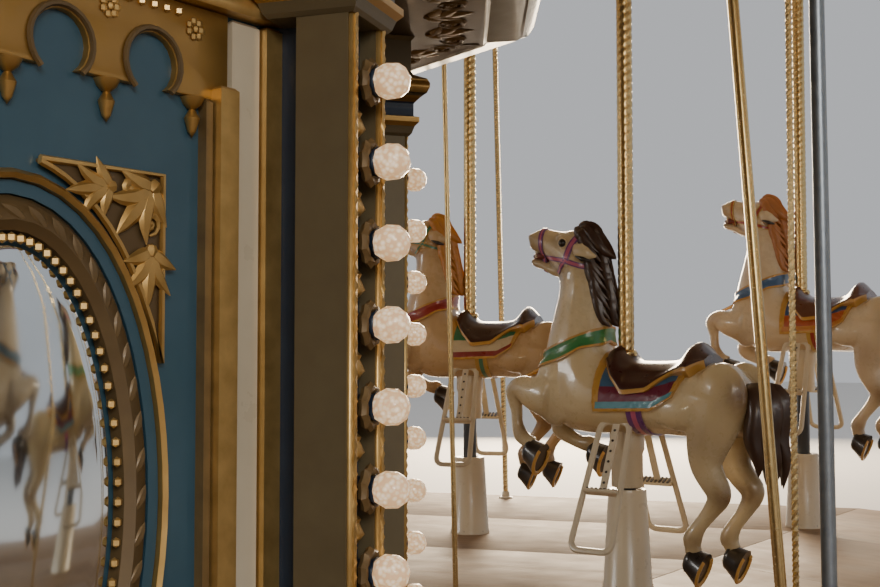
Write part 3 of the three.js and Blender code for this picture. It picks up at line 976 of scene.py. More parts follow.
def saddle():
    places = np.linspace(-0.292, 0.030, 30)
    columns = 31

    def width(x):
        return np.interp(x, [-0.292, -0.262, -0.20, -0.13, -0.05, 0.0, 0.03],
                         [34, 56, 54, 80, 84, 60, 36])

    def rise(x, side):
        cantle = 0.050 * exp(-((x + 0.252) / 0.034) ** 2) * (1 - 0.6 * side ** 2)
        pommel = 0.040 * exp(-((x - 0.004) / 0.030) ** 2) * (1 - side ** 2)
        roll = 0.006 * exp(-((side - 0.9) / 0.08) ** 2)
        return 0.016 + cantle + max(pommel, 0) + roll

    sides = [side_of(column, columns) for column in range(columns)]
    rays = [[spoke(x, width(x) * side) for side in sides] for x in places]
    return snug(rays, lambda row, column: rise(places[row], abs(sides[column])),
                lambda row, column: BORDER if abs(side_of(column + 0.5, columns)) > 0.93 else SEAT)


def girth():
    rays = [[spoke(x, angle) for angle in np.linspace(96, 264, 30)]
            for x in np.linspace(-0.112, -0.062, 4)]
    return snug(rays, lambda row, column: 0.006,
                lambda row, column: EDGING if row in (0, 2) else STRAP)


def collar():
    def scallop(turn):
        return -24 - 9 * abs(cos(2.5 * turn))
    rays = hoop((150, 756), (207, -77), scallop, 22, 8, 48)
    return snug(rays, lambda row, column: 0.007 + (0.003 if row in (0, 1, 6, 7) else 0),
                lambda row, column: BORDER if row in (0, 6) else COLLAR, looped=True)


def ribbon(points, width):
    """A strap laid on the side of the head, through points that are (x, z) in millimetres."""
    line = smooth_line(points, 5) * MM
    rays = []
    for index, (x, z) in enumerate(line):
        before, after = line[max(index - 1, 0)], line[min(index + 1, len(line) - 1)]
        along = Vector((after[0] - before[0], after[1] - before[1])).normalized()
        rays.append([((x - along.y * step * width, 0.2, z + along.x * step * width), (0, -1, 0))
                     for step in (-0.5, -0.28, 0.28, 0.5)])
    return snug(rays, lambda row, column: 0.0045,
                lambda row, column: STRAP if column == 1 else EDGING)


def rosette(x, y, z, radius):
    petals = lathe([(0.0, 0.004), (radius * 0.3, 0.0045), (radius * 0.38, 0.002),
                    (radius * 0.7, 0.0035), (radius, 0.001), (radius, -0.006)], 14, ROSETTE)
    return scalloped(petals, 7, 0.08).turned(-90, "X").moved(x, y, z)


# Straps of the bridle, at the crown, throat, cheek and chin: points in millimetres and width.
BRIDLE = [([(151, 1105), (170, 1073), (185, 1026)], 0.022),
          ([(185, 1026), (140, 1010), (108, 1003)], 0.017),
          ([(185, 1026), (232, 1035), (276, 1042)], 0.016),
          ([(185, 1026), (207, 1006), (226, 990)], 0.014)]


def tack():
    noseband = snug(hoop((292, 1094), (0.0, 1.0), -8, 8, 4, 20), lambda r, c: 0.004,
                    lambda r, c: STRAP if r == 1 else EDGING, looped=True)
    boss = rosette(0.185, 0.058, 1.026, 0.018)
    sides = both_sides(join([ribbon(*strap) for strap in BRIDLE] + [boss]))
    return join([saddle_cloth(), saddle(), girth(), collar(), noseband, sides])


TACK = tack()
print("tack:", len(TACK.faces), "faces")

# %% [markdown]
# Horse paint is a pale gloss under a thick clear coat. The shade number gives it airbrushed brown
# together with painted shade, and fine creases get more painted shade. Five colourings are shared
# by thirty horses, as a workshop would do it, and each is a short list of colours for the same few
# finishes.

# %% Horse finishes
def coat_paint(name, base, spray_and_shade):
    finish = Finish(name, Coat_Weight=0.7, Coat_Roughness=0.06)
    shade = finish.attribute("shade")
    cloud = finish.noise(7.0, 4)
    fine = finish.noise(55.0, 4)
    warm = [channel * tint for channel, tint in zip(base, (0.96, 0.88, 0.72))]
    toned = finish.mix(cloud.between(0.38, 0.68) * 0.7, base, warm)
    # The shade number lays on the brown: airbrush at the listed spots, and painted shade in hollows
    # and underneath.
    sprayed_and_shaded = finish.mix((shade * 1.15 * (fine * 0.5 + 0.72)).clamped(), toned, spray_and_shade)
    # Painted shade in fine creases, darker than the brown.
    hollow = ((0.475 - finish.edges()) * 9).clamped()
    finish.set("Base Color", finish.mix(hollow * 0.6, sprayed_and_shaded, dimmed(spray_and_shade, 0.4)))
    finish.set("Roughness", fine * 0.16 + cloud * 0.1 + 0.16)
    finish.bump(cloud * 0.6 + fine * 0.4, 0.0015, 0.3)
    return finish.material


def hair_paint(name, base):
    finish = Finish(name, Coat_Weight=0.35, Coat_Roughness=0.16)
    strands = finish.noise(60.0, 4, (1, 1, 0.12))
    edge = finish.edges()
    # Painted shade darkens the grooves between the ridges of the locks, and a painted highlight
    # lightens the ridge tops.
    dark = finish.mix(((0.50 - edge) * 9).clamped(), base, dimmed(base, 0.25))
    finish.set("Base Color", finish.mix(((edge - 0.52) * 8).clamped() * strands, dark,
                                        lit_up(base, 2.2, 0.03)))
    finish.set("Roughness", strands * 0.25 + 0.22)
    finish.bump(strands, 0.002, 0.7)
    return finish.material


def gloss(name, base):
    return painted(name, base, dimmed(base, 0.22), lit_up(base, 1.5, 0.05),
                   roughness=0.3, coat=0.5, grain=30.0)


HOOF_BLACK = gloss("hoof_black", (0.022, 0.017, 0.014))
SOLE_DARK = gloss("sole_dark", (0.012, 0.009, 0.008))
EYE_GLASS = gloss("eye_black", (0.010, 0.007, 0.006))
MOUTH_RED = gloss("mouth_dark_red", (0.16, 0.028, 0.024))
TOOTH = gloss("tooth_ivory", (0.66, 0.58, 0.42))
CUFF_GOLD = gloss("border_gold", (0.55, 0.30, 0.06))

PAINTED_PARTS = ("cloth", "band", "hem", "saddle", "strap", "edging", "collar")
# A colouring gives each of these a colour, in this order, and ends with the number of its tail.
COLOURING_ROW = ("coat", "spray_and_shade", "mane", *PAINTED_PARTS, "tail")
COLOURINGS = {
    "ivory": ((0.72, 0.60, 0.37), (0.17, 0.085, 0.032), (0.040, 0.018, 0.010), (0.055, 0.135, 0.24),
              (0.17, 0.022, 0.05), (0.10, 0.34, 0.42), (0.055, 0.017, 0.013),
              (0.60, 0.14, 0.25), (0.17, 0.05, 0.22), (0.045, 0.26, 0.075), 0),
    "tan": ((0.60, 0.43, 0.24), (0.16, 0.07, 0.022), (0.48, 0.20, 0.035), (0.035, 0.19, 0.085),
            (0.64, 0.53, 0.34), (0.28, 0.03, 0.02), (0.045, 0.016, 0.010),
            (0.07, 0.23, 0.15), (0.50, 0.30, 0.07), (0.33, 0.035, 0.03), 1),
    "cream": ((0.74, 0.63, 0.45), (0.20, 0.09, 0.03), (0.38, 0.15, 0.045), (0.03, 0.08, 0.22),
              (0.45, 0.09, 0.025), (0.55, 0.22, 0.04), (0.12, 0.035, 0.015),
              (0.36, 0.04, 0.03), (0.52, 0.34, 0.08), (0.06, 0.15, 0.32), 1),
    "pearl": ((0.73, 0.66, 0.53), (0.10, 0.06, 0.035), (0.16, 0.085, 0.05), (0.30, 0.028, 0.035),
              (0.035, 0.10, 0.20), (0.52, 0.36, 0.12), (0.035, 0.022, 0.02),
              (0.05, 0.17, 0.36), (0.50, 0.33, 0.09), (0.05, 0.18, 0.30), 0),
    "dapple": ((0.45, 0.45, 0.38), (0.075, 0.08, 0.07), (0.055, 0.06, 0.06), (0.14, 0.04, 0.20),
               (0.40, 0.27, 0.08), (0.05, 0.20, 0.20), (0.05, 0.02, 0.02),
               (0.30, 0.14, 0.05), (0.10, 0.05, 0.20), (0.28, 0.05, 0.10), 0),
}


def horse_meshes(name, colours):
    look = dict(zip(COLOURING_ROW, colours))
    body = join([HORSE, DETAILS])
    shade = np.concatenate([SHADE, np.zeros(len(DETAILS.points))])
    paints = [coat_paint(name + "_coat", look["coat"], look["spray_and_shade"]), HOOF_BLACK, CUFF_GOLD,
              SOLE_DARK, EYE_GLASS, MOUTH_RED, TOOTH]
    hair = hair_paint(name + "_hair", look["mane"])
    cast = {part: gloss(name + "_" + part, look[part]) for part in PAINTED_PARTS}
    trim = [cast["cloth"], CUFF_GOLD, cast["band"], cast["hem"], cast["saddle"], cast["strap"],
            cast["edging"], TOOTH, cast["collar"]]
    return {"body": mesh_of(name + "_body", body, paints, {"shade": shade}, 55),
            "hair": mesh_of(name + "_hair", join([MANE, TAILS[look["tail"]]]), [hair], None, 60),
            "tack": mesh_of(name + "_tack", TACK, trim, None, 40)}


LIGHT_SHARE = 0.27
LOOKS = [horse_meshes(*colouring) for colouring in COLOURINGS.items()]
LIGHT_LOOKS = [{part: thinned(mesh, LIGHT_SHARE) for part, mesh in look.items()} for look in LOOKS]
print("one horse:", sum(triangles(mesh) for mesh in LOOKS[0].values()), "triangles, or light:",
      sum(triangles(mesh) for mesh in LIGHT_LOOKS[0].values()))

# %% [markdown]
# The pole of each horse is a brass tube rolled into a rope twist, and below the horse a plain rod
# runs in a sleeve on the deck. The twist is a lobed section that turns as it climbs. A screw
# modifier could turn it as well, but one loop of rings says the pitch in plain numbers.

# %% Poles and stirrups
ROPE = {"strands": 3, "pitch": 0.081, "groove": 0.045}
FINE_ROPE = {"sides": 12, "step": ROPE["pitch"] / 9}
PLAIN_ROPE = {"sides": 6, "step": ROPE["pitch"] / 4}
SADDLE_TOP = 0.69
POLE_TOP = 2.79
BOSS = [(0.047, 0.312), (0.0495, 0.316), (0.0495, 0.418), (0.053, 0.426), (0.0545, 0.432),
        (0.0545, 0.486), (0.050, 0.495)]
STIRRUP = {"top": (0.092, 0.52), "bottom": (0.268, 0.148), "fore": 0.057, "aft": -0.082,
           "thick": 0.0105, "corner": 0.035, "tread": 0.313}
TWISTED, ROD_STEEL, BOSS_CREAM = range(3)
LOOP_CREAM, GRIP_BLACK = range(2)


def twisted(radius, low, high, sides, step, strands, pitch, groove, finish=0):
    """A tube with round strands and sharp grooves, whose section turns as it climbs."""
    angles = full_turn(sides)
    reach = radius * (1 - groove * (1 - np.abs(np.cos(strands * angles / 2))))
    rings = []
    for z in np.linspace(low, high, max(2, round((high - low) / step)) + 1):
        turned = angles + 2 * pi * (z - low) / pitch
        rings.append(np.column_stack([reach * np.cos(turned), reach * np.sin(turned),
                                      np.full(sides, z)]))
    return skin(rings, finish=finish)


def pole(fineness):
    rope = twisted(POLE_RADIUS, SADDLE_TOP - 0.03, POLE_TOP, **fineness, **ROPE, finish=TWISTED)
    collar_rings = [(0.020, 0.0), (0.033, 0.002), (0.036, 0.010), (0.030, 0.020), (0.020, 0.022)]
    seat_collar = lathe(collar_rings, 18, TWISTED).moved(0, 0, SADDLE_TOP + 0.030)
    rod = lathe([(0.023, ROD_FOOT), (0.0265, ROD_FOOT + 0.004), (0.0265, 0.50)], 20, ROD_STEEL)
    return join([rope, seat_collar, rod, lathe(BOSS, 28, BOSS_CREAM)])


def stirrup_outline():
    (near, high), (far, low) = STIRRUP["top"], STIRRUP["bottom"]
    drop = hypot(far - near, high - low)
    corner = STIRRUP["corner"]
    corners = [(STIRRUP["fore"] - 0.018, 0), (STIRRUP["fore"], -drop), (STIRRUP["aft"], -drop),
               (STIRRUP["aft"] + 0.022, 0)]
    line = []
    for index, (x, down) in enumerate(corners):
        before, after = Vector(corners[index - 1]), Vector(corners[(index + 1) % 4])
        here = Vector((x, down))
        start = here + (before - here).normalized() * corner
        end = here + (after - here).normalized() * corner
        line += [start * (1 - t) ** 2 + here * 2 * t * (1 - t) + end * t ** 2
                 for t in np.linspace(0, 1, 6)]
    return line


def stirrup():
    """A loop of flattened tube that leans out from the girth, with a tread and a strap of holes."""
    (near, high), (far, low) = STIRRUP["top"], STIRRUP["bottom"]
    drop = hypot(far - near, high - low)
    out, fall = (far - near) / drop, (high - low) / drop
    lean = Matrix(((1, 0, 0, 0), (0, -out, fall, near), (0, fall, out, high), (0, 0, 0, 1)))
    loop = tube([(x, down, 0) for x, down in stirrup_outline()], STIRRUP["thick"], 8, 0.8,
                looped=True, finish=LOOP_CREAM)
    tread_down = -(high - STIRRUP["tread"]) / (high - low) * drop
    tread = box((STIRRUP["aft"] + 0.014, STIRRUP["fore"] - 0.012),
                (tread_down - 0.006, tread_down + 0.006), (-0.020, 0.020), 0.004, LOOP_CREAM)
    grips = [box((x - 0.0035, x + 0.0035), (tread_down + 0.005, tread_down + 0.009),
                 (-0.017, 0.017), 0.001, GRIP_BLACK) for x in np.linspace(-0.055, 0.032, 7)]
    strap = box((-0.026, -0.002), (tread_down, -0.004), (-0.0035, 0.0035), 0.0015, LOOP_CREAM)
    holes = [lathe([(0.0, 0.0), (0.0042, 0.0), (0.0042, 0.0012), (0.0, 0.0012)], 10, GRIP_BLACK)
             .moved(-0.014, down, 0.0030) for down in np.linspace(-0.03, tread_down + 0.03, 6)]
    return join([loop, tread, strap, *grips, *holes]).placed(lean)


POLE, PLAIN_POLE = (mesh_of("pole", pole(fineness), [BRASS, STEEL, CREAM], None, 60)
                    for fineness in (FINE_ROPE, PLAIN_ROPE))
STIRRUPS = mesh_of("stirrups", both_sides(stirrup()), [CREAM, HOOF_BLACK], None, 40)
PROPS = {"pole": POLE, "stirrups": STIRRUPS}
LIGHT_PROPS = {"pole": PLAIN_POLE, "stirrups": thinned(STIRRUPS, 0.6)}
print("pole:", triangles(POLE), "triangles, stirrups:", triangles(STIRRUPS))

# %% [markdown]
# Thirty horses now take their places. Where each stands at rest comes from its own frame node, so
# the dressed horse can't drift from the body that slides. A mesh is shared by the horses of its
# colouring, which keeps the file small. Six horses nearest the camera get the full meshes, and the
# others get the light ones.

# %% Place the horses
COLOUR_RULE = {"inner": (0, 1), "middle": (1, 3), "outer": (2, 1)}
NEAREST = {f"{row}_horse_{number}" for row in ROWS for number in (1, SECTIONS)}
PART_SLOTS = {"body": "horse_gloss", "hair": "horse_gloss", "tack": "horse_gloss",
              "pole": "brass", "stirrups": "cream_paint"}

for row, (radius, first_angle) in ROWS.items():
    start, stride = COLOUR_RULE[row]
    for index, angle in enumerate(around(first_angle)):
        node = f"{row}_horse_{index + 1}"
        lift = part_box(node)[0].z - DECK_TOP - ROD_FOOT
        turn = radians(angle)
        stand = Matrix.Translation((radius * cos(turn), radius * sin(turn),
                                    DECK_TOP + lift)) @ Matrix.Rotation(
                                        turn + pi / 2, 4, "Z")
        looks, props = (LOOKS, PROPS) if node in NEAREST else (LIGHT_LOOKS, LIGHT_PROPS)
        meshes = looks[(start + stride * index) % len(looks)] | props
        for part, slot in PART_SLOTS.items():
            nodes = [node] if part == "body" else ()
            piece(f"{node}_{part}", meshes[part], node, nodes, stand)
print("placed", len(ROWS) * SECTIONS, "horses")

# %% [markdown]
# The deck is ten wedges of boards. Each board is cut to the mitre at its ends and has a small
# round on its top edges, so the joints show as fine dark lines. The boards are separate shells,
# and each gets its own number and its own direction for the grain.

# %% Deck boards
PLANK = 0.80
DECK_THICK = 0.04
JOINT = 0.0024
RINGS = {"inner": (0.50, 3.30), "middle": (3.30, 4.13), "outer": (4.13, DECK_HALF)}
SLEEVE = [(0.0275, 0.0), (0.079, 0.0), (0.079, 0.010), (0.0765, 0.014), (0.0605, 0.288),
          (0.060, 0.300), (0.0585, 0.306), (0.036, 0.306), (0.033, 0.300), (0.0275, 0.300)]
SLEEVE_CREAM, BOLT_STEEL = range(2)
chance = random.Random(7)


def board_row(low, high):
    """One board of the wedge that faces +X, between two distances from the axis."""
    round_off = 0.0018
    rings = []
    for z, inset in [(DECK_TOP - DECK_THICK, 0), (DECK_TOP - round_off, 0),
                     (DECK_TOP - round_off * 0.3, round_off * 0.3), (DECK_TOP, round_off)]:
        near, far = low + JOINT / 2 + inset, high - JOINT / 2 - inset
        rings.append([(near, -near * SLOPE + JOINT / 2 + inset, z),
                      (far, -far * SLOPE + JOINT / 2 + inset, z),
                      (far, far * SLOPE - JOINT / 2 - inset, z),
                      (near, near * SLOPE - JOINT / 2 - inset, z)])
    return skin(rings)


def planks(low, high):
    count = round((high - low) / PLANK)
    edges = np.linspace(low, high, count + 1)
    forms, own, along = [], [], []
    for angle in around(DECK_SIDE):
        for near, far in zip(edges, edges[1:]):
            board = board_row(near, far)
            shift = chance.uniform(0, 40)
            forms.append(board.turned(angle))
            own += [chance.random()] * len(board.points)
            along += [(y * 1.4 + shift, x * 26, z * 26) for x, y, z in board.points]
    return join(forms), {"board": own, "along": along}


for row, (low, high) in RINGS.items():
    boards, marks = planks(low, high)
    show(row + "_deck_boards", boards, [BOARDS], [row + "_deck"], marks=marks)
    radius, first_angle = ROWS[row]
    sleeve = lathe(SLEEVE, 32, SLEEVE_CREAM, looped=True).moved(radius, 0, DECK_TOP)
    bolts = [lathe([(0.0, 0.004), (0.006, 0.004), (0.008, 0.0), (0.0, 0.0)], 8, BOLT_STEEL)
             .moved(0.071, 0, 0.010).turned(turn).moved(radius, 0, DECK_TOP)
             for turn in range(0, 360, 60)]
    show(row + "_sleeves", ring_of(join([sleeve, *bolts]), first_angle), [CREAM, STEEL])

# %% [markdown]
# Ornament on the housing is built from three words: a scroll, which is a tapered bar rolled into
# a spiral, a leaf, which is a fat tapered bar, and a bead. Real carvers work the same way.
# All are drawn in the YZ plane with their face towards +X, and then turned into place.
# On a painted piece the ground is the first finish and its ornament the second.

# %% Ornament words
GROUND, ORNAMENT = range(2)


def flat_path(points):
    return [(0.0, y, z) for y, z in points]


def bar(path, width, sides=6, flat=1.0, looped=False, finish=0):
    return tube(path, width, sides, flat, looped, (1, 0, 0), finish)


def scroll(radius, turns, thick, tail=0.0, finish=0):
    angles = np.linspace(0, 2 * pi * turns, int(11 * turns))
    path = [(0.0, tail, -radius)] if tail else []
    path += [(0.0, radius * (1 - 0.80 * share) * sin(-angle + pi),
              radius * (1 - 0.80 * share) * cos(-angle + pi))
             for share, angle in zip(np.linspace(0, 1, len(angles)), angles)]
    width = thick * np.interp(np.linspace(0, 1, len(path)), [0, 0.3, 1], [0.35, 1.0, 0.45])
    bud = ball(thick * 0.95, 8, 5, finish).scaled(0.7, 1, 1)
    return join([bar(path, width, 5, 0.8, finish=finish), bud])


def leaf(points, width, finish=0):
    path = smooth_line(flat_path(points), 2)
    swell = width * np.clip(np.sin(np.pi * np.linspace(0.12, 1, len(path))), 0.06, 1)
    return bar(path, swell, 6, 0.5, finish=finish)


def frond(size, finish=0):
    """Five leaves that fan out from a stalk, pointing up."""
    leaves = []
    for angle, reach in ((-66, 0.62), (-34, 0.86), (0, 1.0), (34, 0.86), (66, 0.62)):
        turn = radians(angle)
        tip = (size * reach * sin(turn), size * reach * cos(turn))
        bend = (tip[0] * 0.42 - tip[1] * 0.12 * sin(turn), tip[1] * 0.55)
        leaves.append(leaf([(0, 0), bend, tip], size * 0.15, finish))
    return join(leaves + [ball(size * 0.13, 6, 4, finish).scaled(0.7, 1, 1)])


def fronds(proud, finish, *rows):
    """Fronds on a panel. Each row is the size, the turn in degrees and the place in Y and Z."""
    return [frond(size, finish).turned(turn, "X").moved(proud, y, z) for size, turn, y, z in rows]


def flower(radius, petals=8, finish=0):
    ring = [ball(radius * 0.34, 5, 3, finish).scaled(0.45, 1, 1)
            .moved(0, radius * 0.62 * cos(turn), radius * 0.62 * sin(turn))
            for turn in full_turn(petals)]
    return join(ring + [ball(radius * 0.32, 6, 4, finish).scaled(0.8, 1, 1)])


def beads(path, radius, finish=0):
    return join([ball(radius, 5, 3, finish).moved(*point) for point in path])


def beaded_rod(low, high, radius, pitch, finish):
    count = round((high - low) / pitch)
    profile = []
    for index in range(count):
        z = low + index * (high - low) / count
        profile += [(radius * 0.5, z), (radius, z + pitch * 0.5)]
    return lathe(profile + [(radius * 0.5, high)], 6, finish)


def oval_row(height, a, b, count=56):
    """Points round an oval that stands at a height over the panel."""
    return [(height, a * cos(t), b * sin(t)) for t in full_turn(count)]


def oval_ring(a, b, profile, finish=0, count=56):
    """A moulding round an oval. The profile is (outwards from the oval, proud of the panel)."""
    rings = []
    for t in full_turn(count):
        out = Vector((b * cos(t), a * sin(t))).normalized()
        rings.append([(proud, a * cos(t) + out.x * step, b * sin(t) + out.y * step)
                      for step, proud in profile])
    return skin(rings, looped=True, finish=finish)


print("a frond has", len(frond(0.1).faces), "faces")

# %% [markdown]
# The centre housing hides the mast behind ten panels. Each panel has an oval mirror in a carved
# frame, leafy corners, and a fretwork valance of horseshoe arches under the frieze.
# The wall itself is one ten-sided ring, and one dressed panel is made and turned nine times.

# %% Mirror panels
WALL = {"inner": 0.88, "outer": 0.93, "bottom": 0.1306, "top": 1.205}
MIRROR_FRAME = {"half_width": 0.162, "half_height": 0.272, "centre": 0.612}
MIRROR_EDGE = 0.062
VALANCE = {"arches": 4, "half": 0.192, "end": 0.234, "bottom": 0.972, "top": 1.056,
           "radius": 0.027, "rise": 0.022}
CORNER = {"inner": 0.030, "outer": 0.157, "high": 0.895, "bow": (0.172, 0.285)}
GOLDEN, DARK, TEALED, CREAMED, GLASS = range(5)
PANEL_FINISHES = [GOLD, CARVED, TEAL, CREAM, MIRROR]
# Upright bars beside each oval: inner edge, outer edge, height over the wall, top and finish.
PANEL_BARS = [(0.2035, 0.2115, 0.011, 0.972, DARK), (0.2135, 0.2365, 0.020, 0.985, GOLDEN),
              (0.2390, 0.2750, 0.007, 1.054, CREAMED), (0.2770, 0.2985, 0.015, 1.054, GOLDEN)]
# Rails under each oval: bottom, top, height over the wall and finish.
PANEL_RAILS = [(0.132, 0.158, 0.020, GOLDEN), (0.158, 0.168, 0.011, DARK)]


def valance():
    low, high, radius = VALANCE["bottom"], VALANCE["top"], VALANCE["radius"]
    centre_z = low + VALANCE["rise"]
    posts = np.linspace(-VALANCE["half"], VALANCE["half"], VALANCE["arches"] + 1)
    middles = (posts[:-1] + posts[1:]) / 2

    def arch(middle, reach, start, end, count):
        return [(middle + reach * cos(turn), centre_z + reach * sin(turn))
                for turn in np.radians(np.linspace(start, end, count))]

    line = [(-VALANCE["end"], high), (-VALANCE["end"], low)]
    for middle in middles:
        line += arch(middle, radius, 234, -54, 17)
    line += [(VALANCE["end"], low), (VALANCE["end"], high)]
    parts = [plate([line], 0.014, 0.002, GOLDEN)]
    drop = lathe([(0.0, -0.034), (0.004, -0.028), (0.0075, -0.016), (0.003, -0.008),
                  (0.009, -0.003), (0.012, 0.003), (0.0, 0.006)], 10, GOLDEN)
    for y in posts:
        parts.append(drop.moved(0.004, y, low - 0.004))
        parts.append(flower(0.012, 7, GOLDEN).moved(0.008, y, high - 0.022))
    for middle in middles:
        bead_line = [(0.008, y, z) for y, z in arch(middle, radius + 0.004, 230, -50, 20)]
        parts.append(bar(bead_line, 0.0028, finish=DARK))
        parts.append(beads([(0.008, middle + shift, high - 0.010)
                            for shift in np.linspace(-0.028, 0.028, 5)], 0.0042, GOLDEN))
    return join(parts)


print("the valance has", len(valance().faces), "faces")

# %% [markdown]
# The mirror is framed by a carved torus of leaning leaves between a row of pearls and a teal
# channel with a gold bead, and a fan of leaves fills each corner. The glass has a bevelled edge,
# because a flat sheet wouldn't catch the light at its rim.

# %% Oval frames and corners
def oval_frame():
    a = MIRROR_FRAME["half_width"] - MIRROR_EDGE
    b = MIRROR_FRAME["half_height"] - MIRROR_EDGE
    carved = [(0.010, 0.002), (0.012, 0.014), (0.020, 0.020), (0.032, 0.017), (0.040, 0.008),
              (0.041, 0.002)]
    leaves = []
    for turn in full_turn(44):
        out = Vector((b * cos(turn), a * sin(turn))).normalized()
        along = degrees(atan2(out.y, out.x)) + 52
        petal = leaf([(-0.010, 0), (0.002, 0.001), (0.013, 0.004)], 0.0052, DARK)
        leaves.append(petal.turned(along, "X").moved(
            0.0185, a * cos(turn) + out.x * 0.026, b * sin(turn) + out.y * 0.026))
    pearls = oval_row(0.013, a + 0.006, b + 0.006, 80)
    glass = [oval_row(0.004, a, b), oval_row(0.0085, a, b), oval_row(0.0115, a - 0.014, b - 0.014)]
    return join([
        oval_ring(a, b, carved, DARK),
        oval_ring(a, b, [(0.041, 0.002), (0.041, 0.010), (0.052, 0.010), (0.052, 0.002)], TEALED),
        oval_ring(a, b, [(0.052, 0.001), (0.053, 0.015), (0.057, 0.018), (0.061, 0.013),
                         (0.062, 0.001)], GOLDEN),
        beads(pearls, 0.0046, GOLDEN),
        skin(glass, finish=GLASS),
        *leaves,
    ]).moved(0, 0, MIRROR_FRAME["centre"])


def corner_leaf():
    """A carved field between the oval and a corner of the panel, with leaves on it."""
    inner, outer, high = CORNER["inner"], CORNER["outer"], CORNER["high"]
    wide, tall = CORNER["bow"]
    bow = [(y, MIRROR_FRAME["centre"] + tall * sqrt(1 - (y / wide) ** 2))
           for y in np.linspace(inner, outer, 12)]
    outline = [(outer, high), (inner, high), *bow]
    field = plate([outline], 0.008, 0.001, DARK)
    edge = bar(flat_path(outline), 0.0032, looped=True, finish=GOLDEN).moved(0.006, 0, 0)
    leaves = fronds(0.008, GOLDEN, (0.060, 138, outer - 0.012, high - 0.012),
                    (0.046, 99, outer - 0.058, high - 0.016),
                    (0.052, 176, outer - 0.014, high - 0.068))
    curl = scroll(0.011, 1.4, 0.004, finish=GOLDEN)
    curls = [curl.moved(0.007, outer - y, high - z) for y, z in ((0.036, 0.016), (0.015, 0.044))]
    return join([field, edge, *leaves, *curls])


print("an oval frame has", len(oval_frame().faces), "faces")

# %% [markdown]
# One dressed panel is put together from these and turned to all ten walls. The seven that stand
# away from the camera are thinned, because flowers a few millimetres wide don't show from there.

# %% Dress the walls
def panel_dressing():
    upper = corner_leaf()
    flip = upper.moved(0, 0, -MIRROR_FRAME["centre"]).scaled(1, 1, -1)
    lower = flip.moved(0, 0, MIRROR_FRAME["centre"])
    bars = [box((-0.002, proud), (near, far), (0.150, top), 0.003, finish)
            for near, far, proud, top, finish in PANEL_BARS]
    rails = [box((-0.002, proud), (-0.2365, 0.2365), (low, high), 0.004, finish)
             for low, high, proud, finish in PANEL_RAILS]
    sides = both_sides(join([upper, lower, *bars]))
    return join([sides, *rails, oval_frame(), valance()]).moved(WALL["outer"], 0, DECK_TOP)


wall = sided_ring([(WALL["inner"], DECK_TOP + WALL["bottom"]),
                   (WALL["outer"], DECK_TOP + WALL["bottom"]),
                   (WALL["outer"], DECK_TOP + WALL["top"]),
                   (WALL["inner"], DECK_TOP + WALL["top"])], COLUMN_ANGLE)
show("panel_wall", wall, [TEAL], ["mirror_panels"])
dressing = panel_dressing()
last, first, second, *others = around(COLUMN_SIDE - STEP)
show("panel_frames", join([dressing.turned(angle) for angle in (last, first, second)]),
     PANEL_FINISHES)
show("panel_frames_beyond", join([dressing.turned(angle) for angle in others]),
     PANEL_FINISHES, share=0.4)

# %% [markdown]
# A column covers each corner of the housing. Its front is a dark channel with a row of lamps,
# every lamp in a scalloped dark ring with a bell-shaped drop below it, between two beaded edges.
# The lamps give real light of their own, because the warm row is what the eye meets first.

# %% Lamp columns
COLUMN = {"inner": 1.022, "outer": 1.081, "half": 0.044, "cheek": 0.018, "recess": 0.022,
          "low": 0.1306, "high": 1.066}
LAMPS = {"first": 0.998, "pitch": 0.078, "count": 11}
BULB_LINE = [(0.0, 0.0), (0.013, 0.0), (0.0165, 0.006), (0.018, 0.014), (0.017, 0.022),
             (0.012, 0.029), (0.005, 0.0325), (0.0, 0.033)]
CAPITAL_MIDDLE = 1.037
BRONZED, NIGHT, RIMMED, LIT, HOLLOW = range(5)
COLUMN_FINISHES = [BRONZE, NAVY, GOLD, LAMP, CARVED]


def lamp_socket():
    """A cut-glass bulb in a scalloped ring, with a bell-shaped drop half a pitch below."""
    petals = lathe([(0.012, 0.001), (0.0165, 0.006), (0.020, 0.005), (0.023, 0.001),
                    (0.021, -0.003)], 20, HOLLOW, looped=True)
    petals = scalloped(petals, 10, 0.06)
    holder = lathe([(0.012, -0.020), (0.0125, 0.004), (0.015, 0.0085), (0.0, 0.0085)], 14, NIGHT)
    bulb = lathe(BULB_LINE, 10, LIT).moved(0, 0, 0.0075)
    fitting = join([petals, holder, bulb]).turned(90, "Y").moved(COLUMN["outer"], 0, 0)
    drop = lathe([(0.0, -0.015), (0.004, -0.013), (0.0135, -0.006), (0.011, 0.0), (0.006, 0.006),
                  (0.0085, 0.010), (0.0, 0.015)], 10, RIMMED)
    return join([fitting, drop.scaled(0.55, 1, 1).moved(COLUMN["outer"] - 0.014, 0,
                                                        -LAMPS["pitch"] / 2)])


